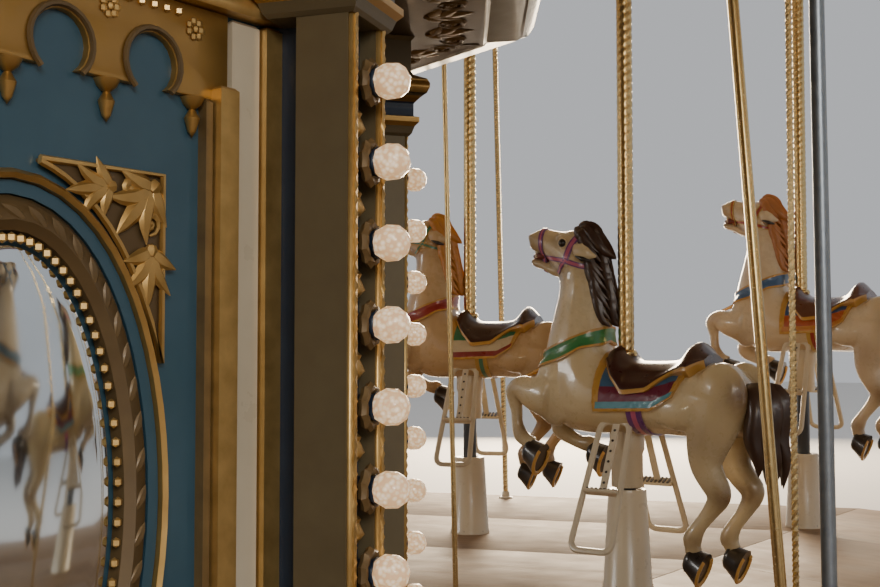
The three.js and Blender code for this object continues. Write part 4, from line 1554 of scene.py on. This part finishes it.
def column():
    half, cheek, outer = COLUMN["half"], COLUMN["cheek"], COLUMN["outer"]
    low, high = COLUMN["low"], COLUMN["high"]
    side = box((COLUMN["inner"], outer - 0.005), (half - cheek, half), (low, high), 0.003, BRONZED)
    fillet = box((outer - 0.007, outer - 0.001), (half - cheek + 0.001, half - 0.002),
                 (low, high), 0.0015, RIMMED)
    edge = beaded_rod(low + 0.004, high - 0.004, 0.0046, 0.0135, RIMMED).moved(
        outer - 0.002, half - 0.009, 0)
    back = box((COLUMN["inner"], outer - COLUMN["recess"]), (-half + cheek, half - cheek),
               (low, high), finish=NIGHT)
    neck = box((0.970, COLUMN["inner"] + 0.002), (-0.008, 0.008), (low, high), finish=NIGHT)
    foot = box((COLUMN["inner"] - 0.006, outer + 0.008), (-half - 0.006, half + 0.006),
               (low, low + 0.055), 0.004, BRONZED)
    sockets = [lamp_socket().moved(0, 0, LAMPS["first"] - index * LAMPS["pitch"])
               for index in range(LAMPS["count"])]
    return join([both_sides(join([side, fillet, edge])), back, neck, foot, *sockets])


print("a column has", len(column().faces), "faces")

# %% [markdown]
# On each column sits a stepped capital with gilded edges, and between the capitals runs a frieze
# with a wave of small leaves. Columns, capitals and frieze become one piece, as in the frame.

# %% Capitals and frieze
def capital():
    steps = [(0.0445, 1.056, BRONZED), (0.048, 1.060, BRONZED), (0.050, 1.066, BRONZED),
             (0.0515, 1.070, RIMMED), (0.057, 1.076, RIMMED), (0.057, 1.083, BRONZED),
             (0.050, 1.0855, NIGHT), (0.050, 1.1035, NIGHT), (0.052, 1.106, RIMMED),
             (0.056, 1.110, RIMMED), (0.060, 1.114, BRONZED), (0.066, 1.118, RIMMED),
             (0.0695, 1.126, RIMMED), (0.0695, 1.132, RIMMED), (0.066, 1.139, RIMMED),
             (0.058, 1.143, BRONZED), (0.050, 1.147, BRONZED), (0.047, 1.152, BRONZED),
             (0.047, 1.198, BRONZED), (0.052, 1.204, BRONZED)]
    bands = [square_band((near, low), (far, high), finish)
             for (near, low, finish), (far, high, _) in zip(steps, steps[1:])]
    return join(bands).moved(CAPITAL_MIDDLE, 0, 0)


def frieze():
    profile = [(0.9303, 1.057), (0.950, 1.057), (0.954, 1.064), (0.950, 1.071), (0.944, 1.076),
               (0.944, 1.132), (0.950, 1.138), (0.960, 1.142), (0.966, 1.152), (0.960, 1.162),
               (0.972, 1.170), (0.974, 1.204), (0.9303, 1.204)]
    return sided_ring(profile, COLUMN_ANGLE, RIMMED)


def frieze_ornament():
    wave = [frond(0.024, RIMMED).turned(90 * (-1) ** index, "X").moved(0.945, y, 1.104)
            for index, y in enumerate(np.linspace(-0.20, 0.20, 9))]
    return join(wave + [flower(0.020, 8, RIMMED).moved(0.946, 0, 1.104)])


columns = ring_of(join([column(), capital()]), COLUMN_ANGLE)
ornament = ring_of(frieze_ornament(), COLUMN_SIDE)
show("lamp_columns", join([columns, frieze(), ornament]).moved(0, 0, DECK_TOP), COLUMN_FINISHES,
     ["column_ring"], share=0.6)

# %% [markdown]
# Over the columns the housing flares out into a crown: a row of slanted boards with scrolls that
# roll away from a fan of leaves, under a cornice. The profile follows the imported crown, and the
# carving is drawn flat and then leaned against the slant.

# %% Crown board
CROWN_FOOT = 1.2053
NOSE_FACE = 1.213
SLANT = {"low": (1.230, 1.4403), "high": (1.340, 1.710)}
CROWN_PROFILE = [(0.880, CROWN_FOOT), (1.060, CROWN_FOOT), (1.070, 1.2065), (1.146, 1.2140),
                 (1.150, 1.2110), (1.156, 1.2110), (1.160, 1.2170), (1.202, 1.2225),
                 (1.216, 1.2290), (1.228, 1.2380), (1.232, 1.2480), (1.230, 1.2570),
                 (1.221, 1.2630), (NOSE_FACE, 1.2650), (NOSE_FACE, 1.290), (1.2155, 1.300),
                 (1.219, 1.340), (1.224, 1.390), SLANT["low"], SLANT["high"], (1.352, 1.716),
                 (1.366, 1.724), (1.370, 1.740), (1.364, 1.756), (1.352, 1.762),
                 (1.360, 1.772), (1.370, 1.780), (1.370, 1.799), (0.880, 1.799)]
TORUS_LINE = [(1.200, 1.2235), (1.218, 1.2290), (1.230, 1.2385), (1.2345, 1.2480),
              (1.230, 1.2575), (1.212, 1.2640)]
TORUS = 2
BLUE_TORUS = painted("blue_grey_torus", (0.070, 0.105, 0.140), (0.02, 0.03, 0.04),
                     (0.20, 0.25, 0.29), roughness=0.42, shade_and_wear=LITTLE_SHADE_AND_WEAR)
CROWN_PAINT = painted("dark_carved_crown", (0.100, 0.068, 0.034), (0.02, 0.012, 0.006),
                      (0.30, 0.21, 0.10), roughness=0.55, metal=0.15, shade_and_wear=LITTLE_SHADE_AND_WEAR)


def crown_carving():
    (near, low), (far, high) = SLANT["low"], SLANT["high"]
    lean = degrees(atan2(far - near, high - low))
    height = hypot(far - near, high - low)
    half = near * SLOPE
    rolls = []
    for radius, place, lift, turns in ((0.078, 0.150, 0.150, 1.7), (0.052, 0.275, 0.120, 1.5),
                                       (0.034, 0.350, 0.185, 1.4), (0.030, 0.080, 0.050, 1.3)):
        rolls.append(scroll(radius, turns, 0.011, tail=-radius * 1.2, finish=ORNAMENT)
                     .moved(0.004, place, lift))
    rolls += fronds(0.005, ORNAMENT, (0.075, -62, 0.200, 0.060), (0.055, -30, 0.300, 0.200))
    middle = [frond(0.150, ORNAMENT).moved(0.006, 0, 0.055),
              flower(0.032, 9, ORNAMENT).moved(0.012, 0, 0.060)]
    dots = beads([(0.003, y, z) for z in (0.016, height - 0.016)
                  for y in np.linspace(-half + 0.02, half - 0.02, 34)], 0.0052, ORNAMENT)
    return join([both_sides(join(rolls)), *middle, dots]).turned(lean, "Y").moved(near, 0, low)


def soffit_carving():
    """Leaves and scrolls that lie face down under the crown, in front of the columns."""
    parts = []
    for index, y in enumerate(np.linspace(-0.285, 0.285, 7)):
        parts.append(frond(0.066, ORNAMENT).moved(0, y, 0.0))
        for side in (1, -1):
            parts.append(scroll(0.021, 1.5, 0.0055, finish=ORNAMENT).scaled(1, side, 1)
                         .moved(0, y + side * 0.046, 0.034))
    lean = degrees(atan2(0.0075, 0.076))
    return join(parts).turned(90 - lean, "Y").moved(1.074, 0, 1.2066)


def crown_nose():
    """Short leaves that hang in a row over the upright above the nose."""
    half = NOSE_FACE * SLOPE
    drop = leaf([(0, 0.0), (0.003, 0.030), (0, 0.060)], 0.017, ORNAMENT)
    return join([drop.moved(NOSE_FACE + 0.002, y, 1.268)
                 for y in np.linspace(-half + 0.02, half - 0.02, 19)])


crown = sided_ring(CROWN_PROFILE, COLUMN_ANGLE, GROUND)
carving = ring_of(join([crown_carving(), soffit_carving(), crown_nose()]),
                  COLUMN_SIDE)
torus = sided_ring(TORUS_LINE, COLUMN_ANGLE, TORUS)
show("crown_carved", join([crown, carving, torus]).moved(0, 0, DECK_TOP),
     [CROWN_PAINT, CARVED, BLUE_TORUS], ["crown_board"], share=0.5)

# %% [markdown]
# Below the columns a stepped plinth takes the kicks, and above the crown a plain drum closes the
# housing up to the sweeps. Both get framed panels, because a bare ring would read as cardboard.

# %% Plinth and upper drum
def framed_panel(low, high, half, proud, rim):
    """A raised rectangular moulding on a side of a ring, with mitred corners."""
    def frame_at(inset, depth):
        return [(depth, -half + inset, low + inset), (depth, half - inset, low + inset),
                (depth, half - inset, high - inset), (depth, -half + inset, high - inset)]
    rings = [frame_at(0, -0.001), frame_at(rim * 0.2, proud), frame_at(rim * 0.8, proud),
             frame_at(rim, -0.001)]
    return skin(rings, looped=True, finish=ORNAMENT)


PLINTH_PROFILE = [(0.860, 0.0003), (1.040, 0.0003), (1.040, 0.030), (1.030, 0.036),
                  (1.024, 0.040), (1.024, 0.096), (1.030, 0.102), (1.036, 0.108), (1.036, 0.116),
                  (1.026, 0.124), (1.016, 0.1303), (0.860, 0.1303)]
plinth_panel = join([framed_panel(0.046, 0.090, 0.285, 0.006, 0.010),
                     *[flower(0.013, 7, ORNAMENT).moved(0.002, y, 0.068)
                       for y in (-0.2, 0.0, 0.2)]])
show("plinth_stepped", join([sided_ring(PLINTH_PROFILE, COLUMN_ANGLE),
                             ring_of(plinth_panel.moved(1.024, 0, 0), COLUMN_SIDE)])
     .moved(0, 0, DECK_TOP), [NAVY, GOLD], ["plinth_ring"])

DRUM = {"low": 1.8003, "high": 2.6597}
drum_panel = join([framed_panel(DRUM["low"] + 0.05, DRUM["high"] - 0.08, 0.245, 0.012, 0.026),
                   frond(0.16, ORNAMENT).moved(0.004, 0, DRUM["low"] + 0.30),
                   both_sides(scroll(0.06, 1.5, 0.010, finish=ORNAMENT)
                              .moved(0.004, 0.10, DRUM["low"] + 0.22)),
                   flower(0.030, 9, ORNAMENT).moved(0.008, 0, DRUM["low"] + 0.28)])
drum = sided_ring([(0.880, DRUM["low"]), (0.930, DRUM["low"]), (0.936, DRUM["low"] + 0.012),
                   (0.930, DRUM["low"] + 0.024), (0.930, DRUM["high"] - 0.050),
                   (0.940, DRUM["high"] - 0.034), (0.952, DRUM["high"] - 0.012),
                   (0.952, DRUM["high"]), (0.880, DRUM["high"])], COLUMN_ANGLE)
show("upper_drum_framed", join([drum, ring_of(drum_panel.moved(0.930, 0, 0),
                                              COLUMN_SIDE)]).moved(0, 0, DECK_TOP),
     [NAVY, GOLD], ["upper_drum"])

# %% [markdown]
# The deck hangs from the sweeps on brass rods. Some are twisted like the poles and some are plain,
# and each stands in a small flange on the boards. A leaning rod is a straight rod that is sheared,
# so that its ends stay level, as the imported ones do.

# %% Hanger rods
HANGER_TOP = 2.6597
HANGER_RING = 0.07
EVERY, ODD = range(0, SECTIONS), range(1, SECTIONS, 2)
POLISHED, FLANGE_CREAM, BLUED = range(3)
ROPED, PLAIN = True, False
HANGER_ROPE = {"sides": 6, "step": 0.0125, "strands": 3, "pitch": 0.075, "groove": 0.06}
# Rods: sweeps that carry one, radius, foot, head, rope or plain, finish.
HANGERS = {
    "aisle": {"ring": (1.538, 1.612),
              "rods": [(ODD, 0.0098, (1.575, -0.03), (1.575, 0.03), PLAIN, BLUED)]},
    "inner": {"ring": (2.365, 2.490),
              "rods": [(EVERY, 0.0093, (2.465, 0.0), (2.465, 0.0), ROPED, POLISHED),
                       (EVERY, 0.0148, (2.440, 0.012), (2.400, 0.205), PLAIN, POLISHED),
                       (EVERY, 0.0079, (2.383, -0.476), (2.396, -0.412), PLAIN, POLISHED)]},
    "outer": {"ring": (4.818, 4.888),
              "rods": [(EVERY, 0.0140, (4.860, -0.03), (4.860, 0.03), ROPED, POLISHED)]},
}


def hanger_rod(radius, foot, head, rope, finish):
    low, high = 0.0003, HANGER_TOP - HANGER_RING / 2
    if rope:
        rod = twisted(radius, low, high, **HANGER_ROPE, finish=finish)
    else:
        rod = lathe([(radius, low), (radius, high)], 12, finish)
    flange = lathe([(radius + 0.021, low), (radius + 0.021, 0.005), (radius + 0.017, 0.008),
                    (radius + 0.006, 0.011), (radius + 0.004, 0.030), (radius + 0.001, 0.034)],
                   16, FLANGE_CREAM)
    share = (rod.points[:, 2] - low) / (high - low)
    centre = np.outer(share, [head[0] - foot[0], head[1] - foot[1]]) + foot
    rod = rod.copied(rod.points + np.column_stack([centre, np.zeros(len(centre))]))
    return join([rod, flange.moved(foot[0], foot[1], 0)])


for name, hanger in HANGERS.items():
    inner, outer = hanger["ring"]
    low = HANGER_TOP - HANGER_RING
    ring = sided_ring([(inner, low + 0.006), (inner + 0.006, low), (outer - 0.006, low),
                       (outer, low + 0.006), (outer, HANGER_TOP), (inner, HANGER_TOP)],
                      DECK_CORNER, POLISHED)
    rods = [hanger_rod(*rod).turned(SWEEP_ANGLE + STEP * sweep)
            for sweeps, *rod in hanger["rods"] for sweep in sweeps]
    show(name + "_rods", join([ring, *rods]).moved(0, 0, DECK_TOP), [BRASS, CREAM, GREY_ROD],
         [name + "_hangers"])

# %% [markdown]
# The ceiling is four rings of cream boards with a red and gold bead on each edge. The poles pass
# between the rings. Seen from the deck it is the ride's sky, so the boards are grooved.

# %% Ceiling rings
CEILING_RINGS = 4
BOARDED, RED_BEAD, GOLD_BEAD = range(3)
for index in range(CEILING_RINGS):
    node = f"ceiling_ring_{index + 1}"
    low_corner, high_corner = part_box(node)
    bottom, top = low_corner.z, high_corner.z
    reach = np.hypot(*np.array([vertex.co[:2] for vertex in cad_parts[node].data.vertices]).T)
    inner, outer = reach.min() * APOTHEM, reach.max() * APOTHEM
    grooves = max(2, round((outer - inner) / 0.16))
    profile = [(inner, top), (inner, bottom)]
    for edge in np.linspace(inner, outer, grooves + 1)[1:-1]:
        profile += [(edge - 0.006, bottom), (edge, bottom + 0.008), (edge + 0.006, bottom)]
    profile += [(outer, bottom), (outer, top)]
    boards = sided_ring(profile, DECK_CORNER, BOARDED)
    trims = []
    for edge, finish in ((inner + 0.012, RED_BEAD), (outer - 0.012, RED_BEAD),
                         (inner + 0.032, GOLD_BEAD), (outer - 0.032, GOLD_BEAD)):
        trims.append(sided_ring([(edge - 0.007, bottom + 0.004), (edge - 0.006, bottom - 0.004),
                                 (edge + 0.006, bottom - 0.004), (edge + 0.007, bottom + 0.004)],
                                DECK_CORNER, finish))
    show(node + "_boards", join([boards, *trims]), [CREAM, RED, GOLD], [node])

# %% [markdown]
# Round the rim runs the show front of the ride, the rounding boards. None of it is in the
# photograph, so it repeats what the housing shows: ovals, scrolls, lamps and beading, on red.

# %% Rounding boards
BOARD = {"outer": 5.185, "middle": 2.865}
BOARD_PROFILE = [(5.1403, 2.640), (5.185, 2.640), (5.196, 2.646), (5.200, 2.660), (5.194, 2.674),
                 (5.185, 2.680), (5.185, 3.050), (5.192, 3.058), (5.204, 3.066), (5.220, 3.082),
                 (5.226, 3.100), (5.236, 3.112), (5.240, 3.132), (5.240, 3.150), (5.1403, 3.150)]
LAMP_ROWS = (2.704, 3.026)
SHIELD, CREST, NIGHTLY, PALE, SHINE, BULB = range(6)


def oval_shield(a, b, glass):
    """A framed oval for the show front, around the origin."""
    frame_ring = oval_ring(a, b, [(-0.002, 0.0), (0.004, 0.022), (0.022, 0.030), (0.040, 0.016),
                                  (0.046, 0.0)], CREST, 40)
    face = skin([oval_row(0.001, a, b, 40), oval_row(0.010, a - 0.006, b - 0.006, 40)],
                finish=glass)
    pearls = beads(oval_row(0.016, a + 0.002, b + 0.002, 44), 0.0085, PALE)
    return join([frame_ring, face, pearls])


def board_dressing():
    half = BOARD["outer"] * SLOPE
    wings = [scroll(radius, turns, 0.015, tail=-radius * 1.3, finish=CREST).moved(0.006, y, z)
             for radius, y, z, turns in ((0.098, 0.43, 0.0, 1.7), (0.060, 0.62, -0.055, 1.5),
                                         (0.052, 1.16, 0.055, 1.5), (0.040, 1.40, -0.04, 1.5))]
    wings += fronds(0.006, CREST, (0.17, -84, 0.54, 0.035), (0.13, -96, 1.22, -0.03),
                    (0.12, 84, 1.46, 0.0), (0.11, -60, 0.24, 0.05))
    wings.append(oval_shield(0.080, 0.082, NIGHTLY).moved(0, 0.92, 0))
    wings.append(flower(0.050, 10, CREST).moved(0.014, 0.92, 0))
    middle = join([oval_shield(0.19, 0.085, SHINE), both_sides(join(wings))])
    lamps = []
    for row in LAMP_ROWS:
        for y in np.linspace(-half + 0.10, half - 0.10, 17):
            socket = lathe([(0.020, 0.006), (0.030, 0.006), (0.034, 0.0), (0.018, 0.0)], 12,
                           CREST, looped=True).turned(90, "Y")
            lamps.append(socket.moved(0, y, row))
            lamps.append(ball(0.020, 8, 5, BULB).moved(0.014, y, row))
    return join([middle.moved(0, 0, BOARD["middle"]), *lamps]).moved(BOARD["outer"], 0, 0)


def corner_pilaster():
    """A narrow pilaster that covers the corner where two boards meet."""
    out = BOARD["outer"] / APOTHEM
    post = [(out - 0.055, -0.075), (out + 0.012, -0.060), (out + 0.018, 0.0), (out + 0.012, 0.060),
            (out - 0.055, 0.075)]
    shaft = skin([[(x, y, z) for x, y in post] for z in (2.682, 3.048)], finish=PALE)
    blooms = [flower(0.040, 8, CREST).moved(out + 0.018, 0, BOARD["middle"] + rise)
              for rise in (-0.125, 0.0, 0.125)]
    return join([shaft, *blooms])


show_front = join([sided_ring(BOARD_PROFILE, DECK_CORNER, SHIELD),
                   ring_of(board_dressing(), DECK_SIDE),
                   ring_of(corner_pilaster(), DECK_CORNER)])
show("show_front", show_front.moved(0, 0, DECK_TOP), [RED, GOLD, NAVY, CREAM, MIRROR, LAMP],
     ["rounding_boards"], share=0.35)

# %% [markdown]
# Under the deck edge hangs a skirt of framed panels, down to just over the ground, so that no one
# sees the frame and nothing rubs.

# %% Rim skirt
SKIRT = {"inner": 4.9703, "face": 4.992, "outer": 5.0, "bottom": 0.06, "middle": 0.189}
SKIRT_PROFILE = [(SKIRT["inner"], SKIRT["bottom"]), (4.994, SKIRT["bottom"]),
                 (SKIRT["outer"], 0.066), (SKIRT["outer"], 0.080), (SKIRT["face"], 0.086),
                 (SKIRT["face"], 0.290), (4.998, 0.296), (SKIRT["outer"], 0.306),
                 (SKIRT["outer"], 0.322), (SKIRT["face"], DECK_TOP), (SKIRT["inner"], DECK_TOP)]
skirt_parts = []
for middle in (-1.08, -0.36, 0.36, 1.08):
    skirt_parts.append(framed_panel(0.102, 0.276, 0.33, 0.008, 0.020).moved(0, middle, 0))
    skirt_parts.append(flower(0.050, 9, ORNAMENT).moved(0.002, middle, SKIRT["middle"]))
    skirt_parts += fronds(0.002, ORNAMENT, (0.13, -90, middle + 0.065, SKIRT["middle"]),
                          (0.13, 90, middle - 0.065, SKIRT["middle"]))
skirt = join([sided_ring(SKIRT_PROFILE, DECK_CORNER, GROUND),
              ring_of(join(skirt_parts).moved(SKIRT["face"], 0, 0), DECK_SIDE)])
show("skirt_panels", skirt, [RED, GOLD], ["rim_skirt"], share=0.6)

# %% [markdown]
# The roof is ten bays of glass-fibre panels in two colours, with a round rib over each corner and
# a scalloped edge. Each stripe of a bay is a shell of its own, so that it can have its own finish.

# %% Roof panels
ROOF_STRIPES = 4
ROOF_LINE = [(5.290, 0.016), (5.290, 0.032), (5.15, 0.050), (4.60, 0.150), (3.80, 0.330),
             (2.900, 0.560), (2.10, 0.810), (1.20, 1.085), (0.380, 1.330), (0.06, 1.330)]
ROOF_THICK = 0.032
RIB_END = 5.260
SCALLOPS = 12
EAVE = DECK_TOP + 3.1503
ROOF_GOLD = 2


def panel_finish(name, base, stain):
    finish = Finish(name, Coat_Weight=0.25, Coat_Roughness=0.2)
    cloud = finish.noise(1.4, 5)
    grime = finish.noise(6.0, 6, (1, 1, 0.25))
    toned = finish.mix(cloud.between(0.35, 0.7) * 0.5, base, dimmed(base, 0.78))
    finish.set("Base Color", finish.mix(grime.between(0.55, 0.85) * 0.6, toned, stain))
    finish.set("Roughness", grime * 0.25 + 0.28)
    finish.bump(cloud, 0.006, 0.3)
    return finish.material


ROOF_CREAM = panel_finish("roof_cream_panel", (0.70, 0.62, 0.46), (0.38, 0.30, 0.20))
ROOF_RED = panel_finish("roof_red_panel", (0.36, 0.035, 0.03), (0.16, 0.02, 0.018))


def roof_bay():
    forms = []
    for stripe in range(ROOF_STRIPES):
        left, right = (-1 + 2 * (stripe + edge) / ROOF_STRIPES for edge in (0, 1))
        rings = []
        for half, up in ROOF_LINE:
            crown_up = 0.010 if 0.5 < half < 5.2 else 0.0
            across = [left + (right - left) * step for step in (0, 0.5, 1)]
            lifts = [0, crown_up, 0]
            top = [(half, half * SLOPE * side, EAVE + up + rise)
                   for side, rise in zip(across, lifts)]
            below = [(half - 0.004, half * SLOPE * side, EAVE + max(up - ROOF_THICK, 0.0))
                     for side in across[::-1]]
            rings.append(top + below)
        forms.append(skin(rings, finish=stripe % 2))
    return join(forms)


def roof_rib():
    line = [(min(half, RIB_END) / APOTHEM, 0.0, EAVE + up + 0.006)
            for half, up in ROOF_LINE[1:-1]]
    return tube(line, 0.026, 8, finish=ROOF_GOLD)


def scallops():
    half = 5.286 * SLOPE
    wide = 2 * half / SCALLOPS
    forms = []
    for index in range(SCALLOPS):
        middle = -half + (index + 0.5) * wide
        arc = [(middle + wide / 2 * cos(t), EAVE + 0.004 + 0.075 * sin(t))
               for t in np.linspace(pi, 2 * pi, 9)]
        outline = [(middle + wide / 2, EAVE + 0.028), *arc[::-1], (middle - wide / 2, EAVE + 0.028)]
        forms.append(plate([outline], 0.008, 0.0015, index % 2).moved(5.2855, 0, 0))
        forms.append(ball(0.011, 6, 4, ROOF_GOLD).moved(5.277, middle, EAVE - 0.074))
    return join(forms)


roof = join([ring_of(join([roof_bay(), scallops()]), DECK_SIDE),
             ring_of(roof_rib(), DECK_CORNER)])
show("roof_striped", roof, [ROOF_CREAM, ROOF_RED, GOLD], ["canopy_roof"])

# %% [markdown]
# The finial is a turned and gilded spindle on the peak, made by a lathe from its outline, with
# leaves laid round its bowl.

# %% Finial
finial_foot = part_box("finial")[0].z
SPINDLE = [(0.0, 0.0), (0.190, 0.0), (0.195, 0.012), (0.180, 0.028), (0.110, 0.045),
           (0.075, 0.075), (0.085, 0.100), (0.120, 0.135), (0.146, 0.175), (0.150, 0.200),
           (0.140, 0.228), (0.105, 0.260), (0.080, 0.290), (0.090, 0.302), (0.078, 0.316),
           (0.046, 0.340), (0.030, 0.372), (0.022, 0.396), (0.008, 0.414), (0.0, 0.420)]
petals = [leaf([(0, 0.0), (0.008, 0.07), (0, 0.125)], 0.034, 0).turned(14, "Y")
          .moved(0.092, 0, 0.105).turned(turn) for turn in range(0, 360, 30)]
show("finial_gilt", join([lathe(SPINDLE, 36), *petals]).moved(0, 0, finial_foot), [GOLD],
     ["finial"])

# %% [markdown]
# Sills, mast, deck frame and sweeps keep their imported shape, because they are plain steel. Only
# their finish changes, and bolted plates are added where such arms are joined.

# %% Steelwork
for node in ("ground_sills", "mast", "deck_frame", "sweeps"):
    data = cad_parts[node].data
    data.materials.clear()
    data.materials.append(STEEL)

HUB_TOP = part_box("sweeps")[1].z


def bolted_plate(long, wide, thick=0.010):
    spots = [(x, y) for x in (-long * 0.34, 0.0, long * 0.34) for y in (-wide * 0.3, wide * 0.3)]
    nuts = [lathe([(0.011, 0.0), (0.011, 0.010), (0.008, 0.013), (0.0, 0.013)], 6)
            .moved(x, y, thick) for x, y in spots]
    return join([box((-long / 2, long / 2), (-wide / 2, wide / 2), (0, thick), 0.003), *nuts])


tie = bolted_plate(0.30, 0.085)
ties = join([ring_of(tie.moved(out, 0, HUB_TOP), SWEEP_ANGLE) for out in (0.30, 4.94)])
show("sweep_tie_plates", ties, [BRASS])

SILL_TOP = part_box("ground_sills")[1].z
feet = ring_of(bolted_plate(0.26, 0.15).moved(3.02, 0, SILL_TOP), SWEEP_ANGLE)
show("sill_plates", feet, [STEEL], body="base")

# %% [markdown]
# The studio is a pale floor, a pale sky and a few big soft lamps outside the ride. A warm one
# stands low behind the horses, because the object is seen against the light, and a weak fill keeps
# the shaded near side readable. All four are hidden from the camera.

# %% Floor and lights
FLOOR_HALF = 40


def floor():
    made = bpy.data.meshes.new("floor")
    made.from_pydata([(FLOOR_HALF * x, FLOOR_HALF * y, 0)
                      for x, y in ((-1, -1), (1, -1), (1, 1), (-1, 1))], [], [(0, 1, 2, 3)])
    finish = Finish("pale_studio_floor", Roughness=0.7)
    cloud = finish.noise(0.8, 3)
    finish.set("Base Color", finish.mix(cloud, (0.66, 0.64, 0.61), (0.70, 0.68, 0.65)))
    made.materials.append(finish.material)
    slab = linked("floor", made)
    slab.location.z = -0.002


def soft_light(name, place, target, size, power, colour):
    lamp = bpy.data.lights.new(name, "AREA")
    lamp.shape, lamp.size, lamp.energy, lamp.color = "DISK", size, power, colour
    holder = linked(name, lamp)
    holder.location = place
    holder.rotation_mode = "QUATERNION"
    holder.rotation_quaternion = (Vector(target) - Vector(place)).to_track_quat("-Z", "Y")
    holder.visible_camera = False


# Each light: name, place, target, width, watts and colour.
SOFT_LIGHTS = [("warm_back", (-5.5, 12.0, 3.4), (0.5, 3.0, 1.2), 5.0, 1700, (1.0, 0.80, 0.56)),
               ("front_left", (-11.0, -9.0, 7.5), (0, 0, 1.5), 7.0, 1700, (1.0, 0.97, 0.93)),
               ("front_right", (12.0, -8.0, 8.5), (0, 0, 1.5), 7.0, 1700, (0.93, 0.96, 1.0)),
               ("deck_fill", (3.4, -1.6, 2.3), (0.6, 2.6, 0.9), 1.6, 30, (1.0, 0.93, 0.84))]
floor()
for light in SOFT_LIGHTS:
    soft_light(*light)

world = bpy.data.worlds.new("studio")
world.use_nodes = True
world.node_tree.nodes["Background"].inputs["Color"].default_value = (0.86, 0.88, 0.92, 1)
world.node_tree.nodes["Background"].inputs["Strength"].default_value = 0.6
bpy.context.scene.world = world
print("floor and lights made")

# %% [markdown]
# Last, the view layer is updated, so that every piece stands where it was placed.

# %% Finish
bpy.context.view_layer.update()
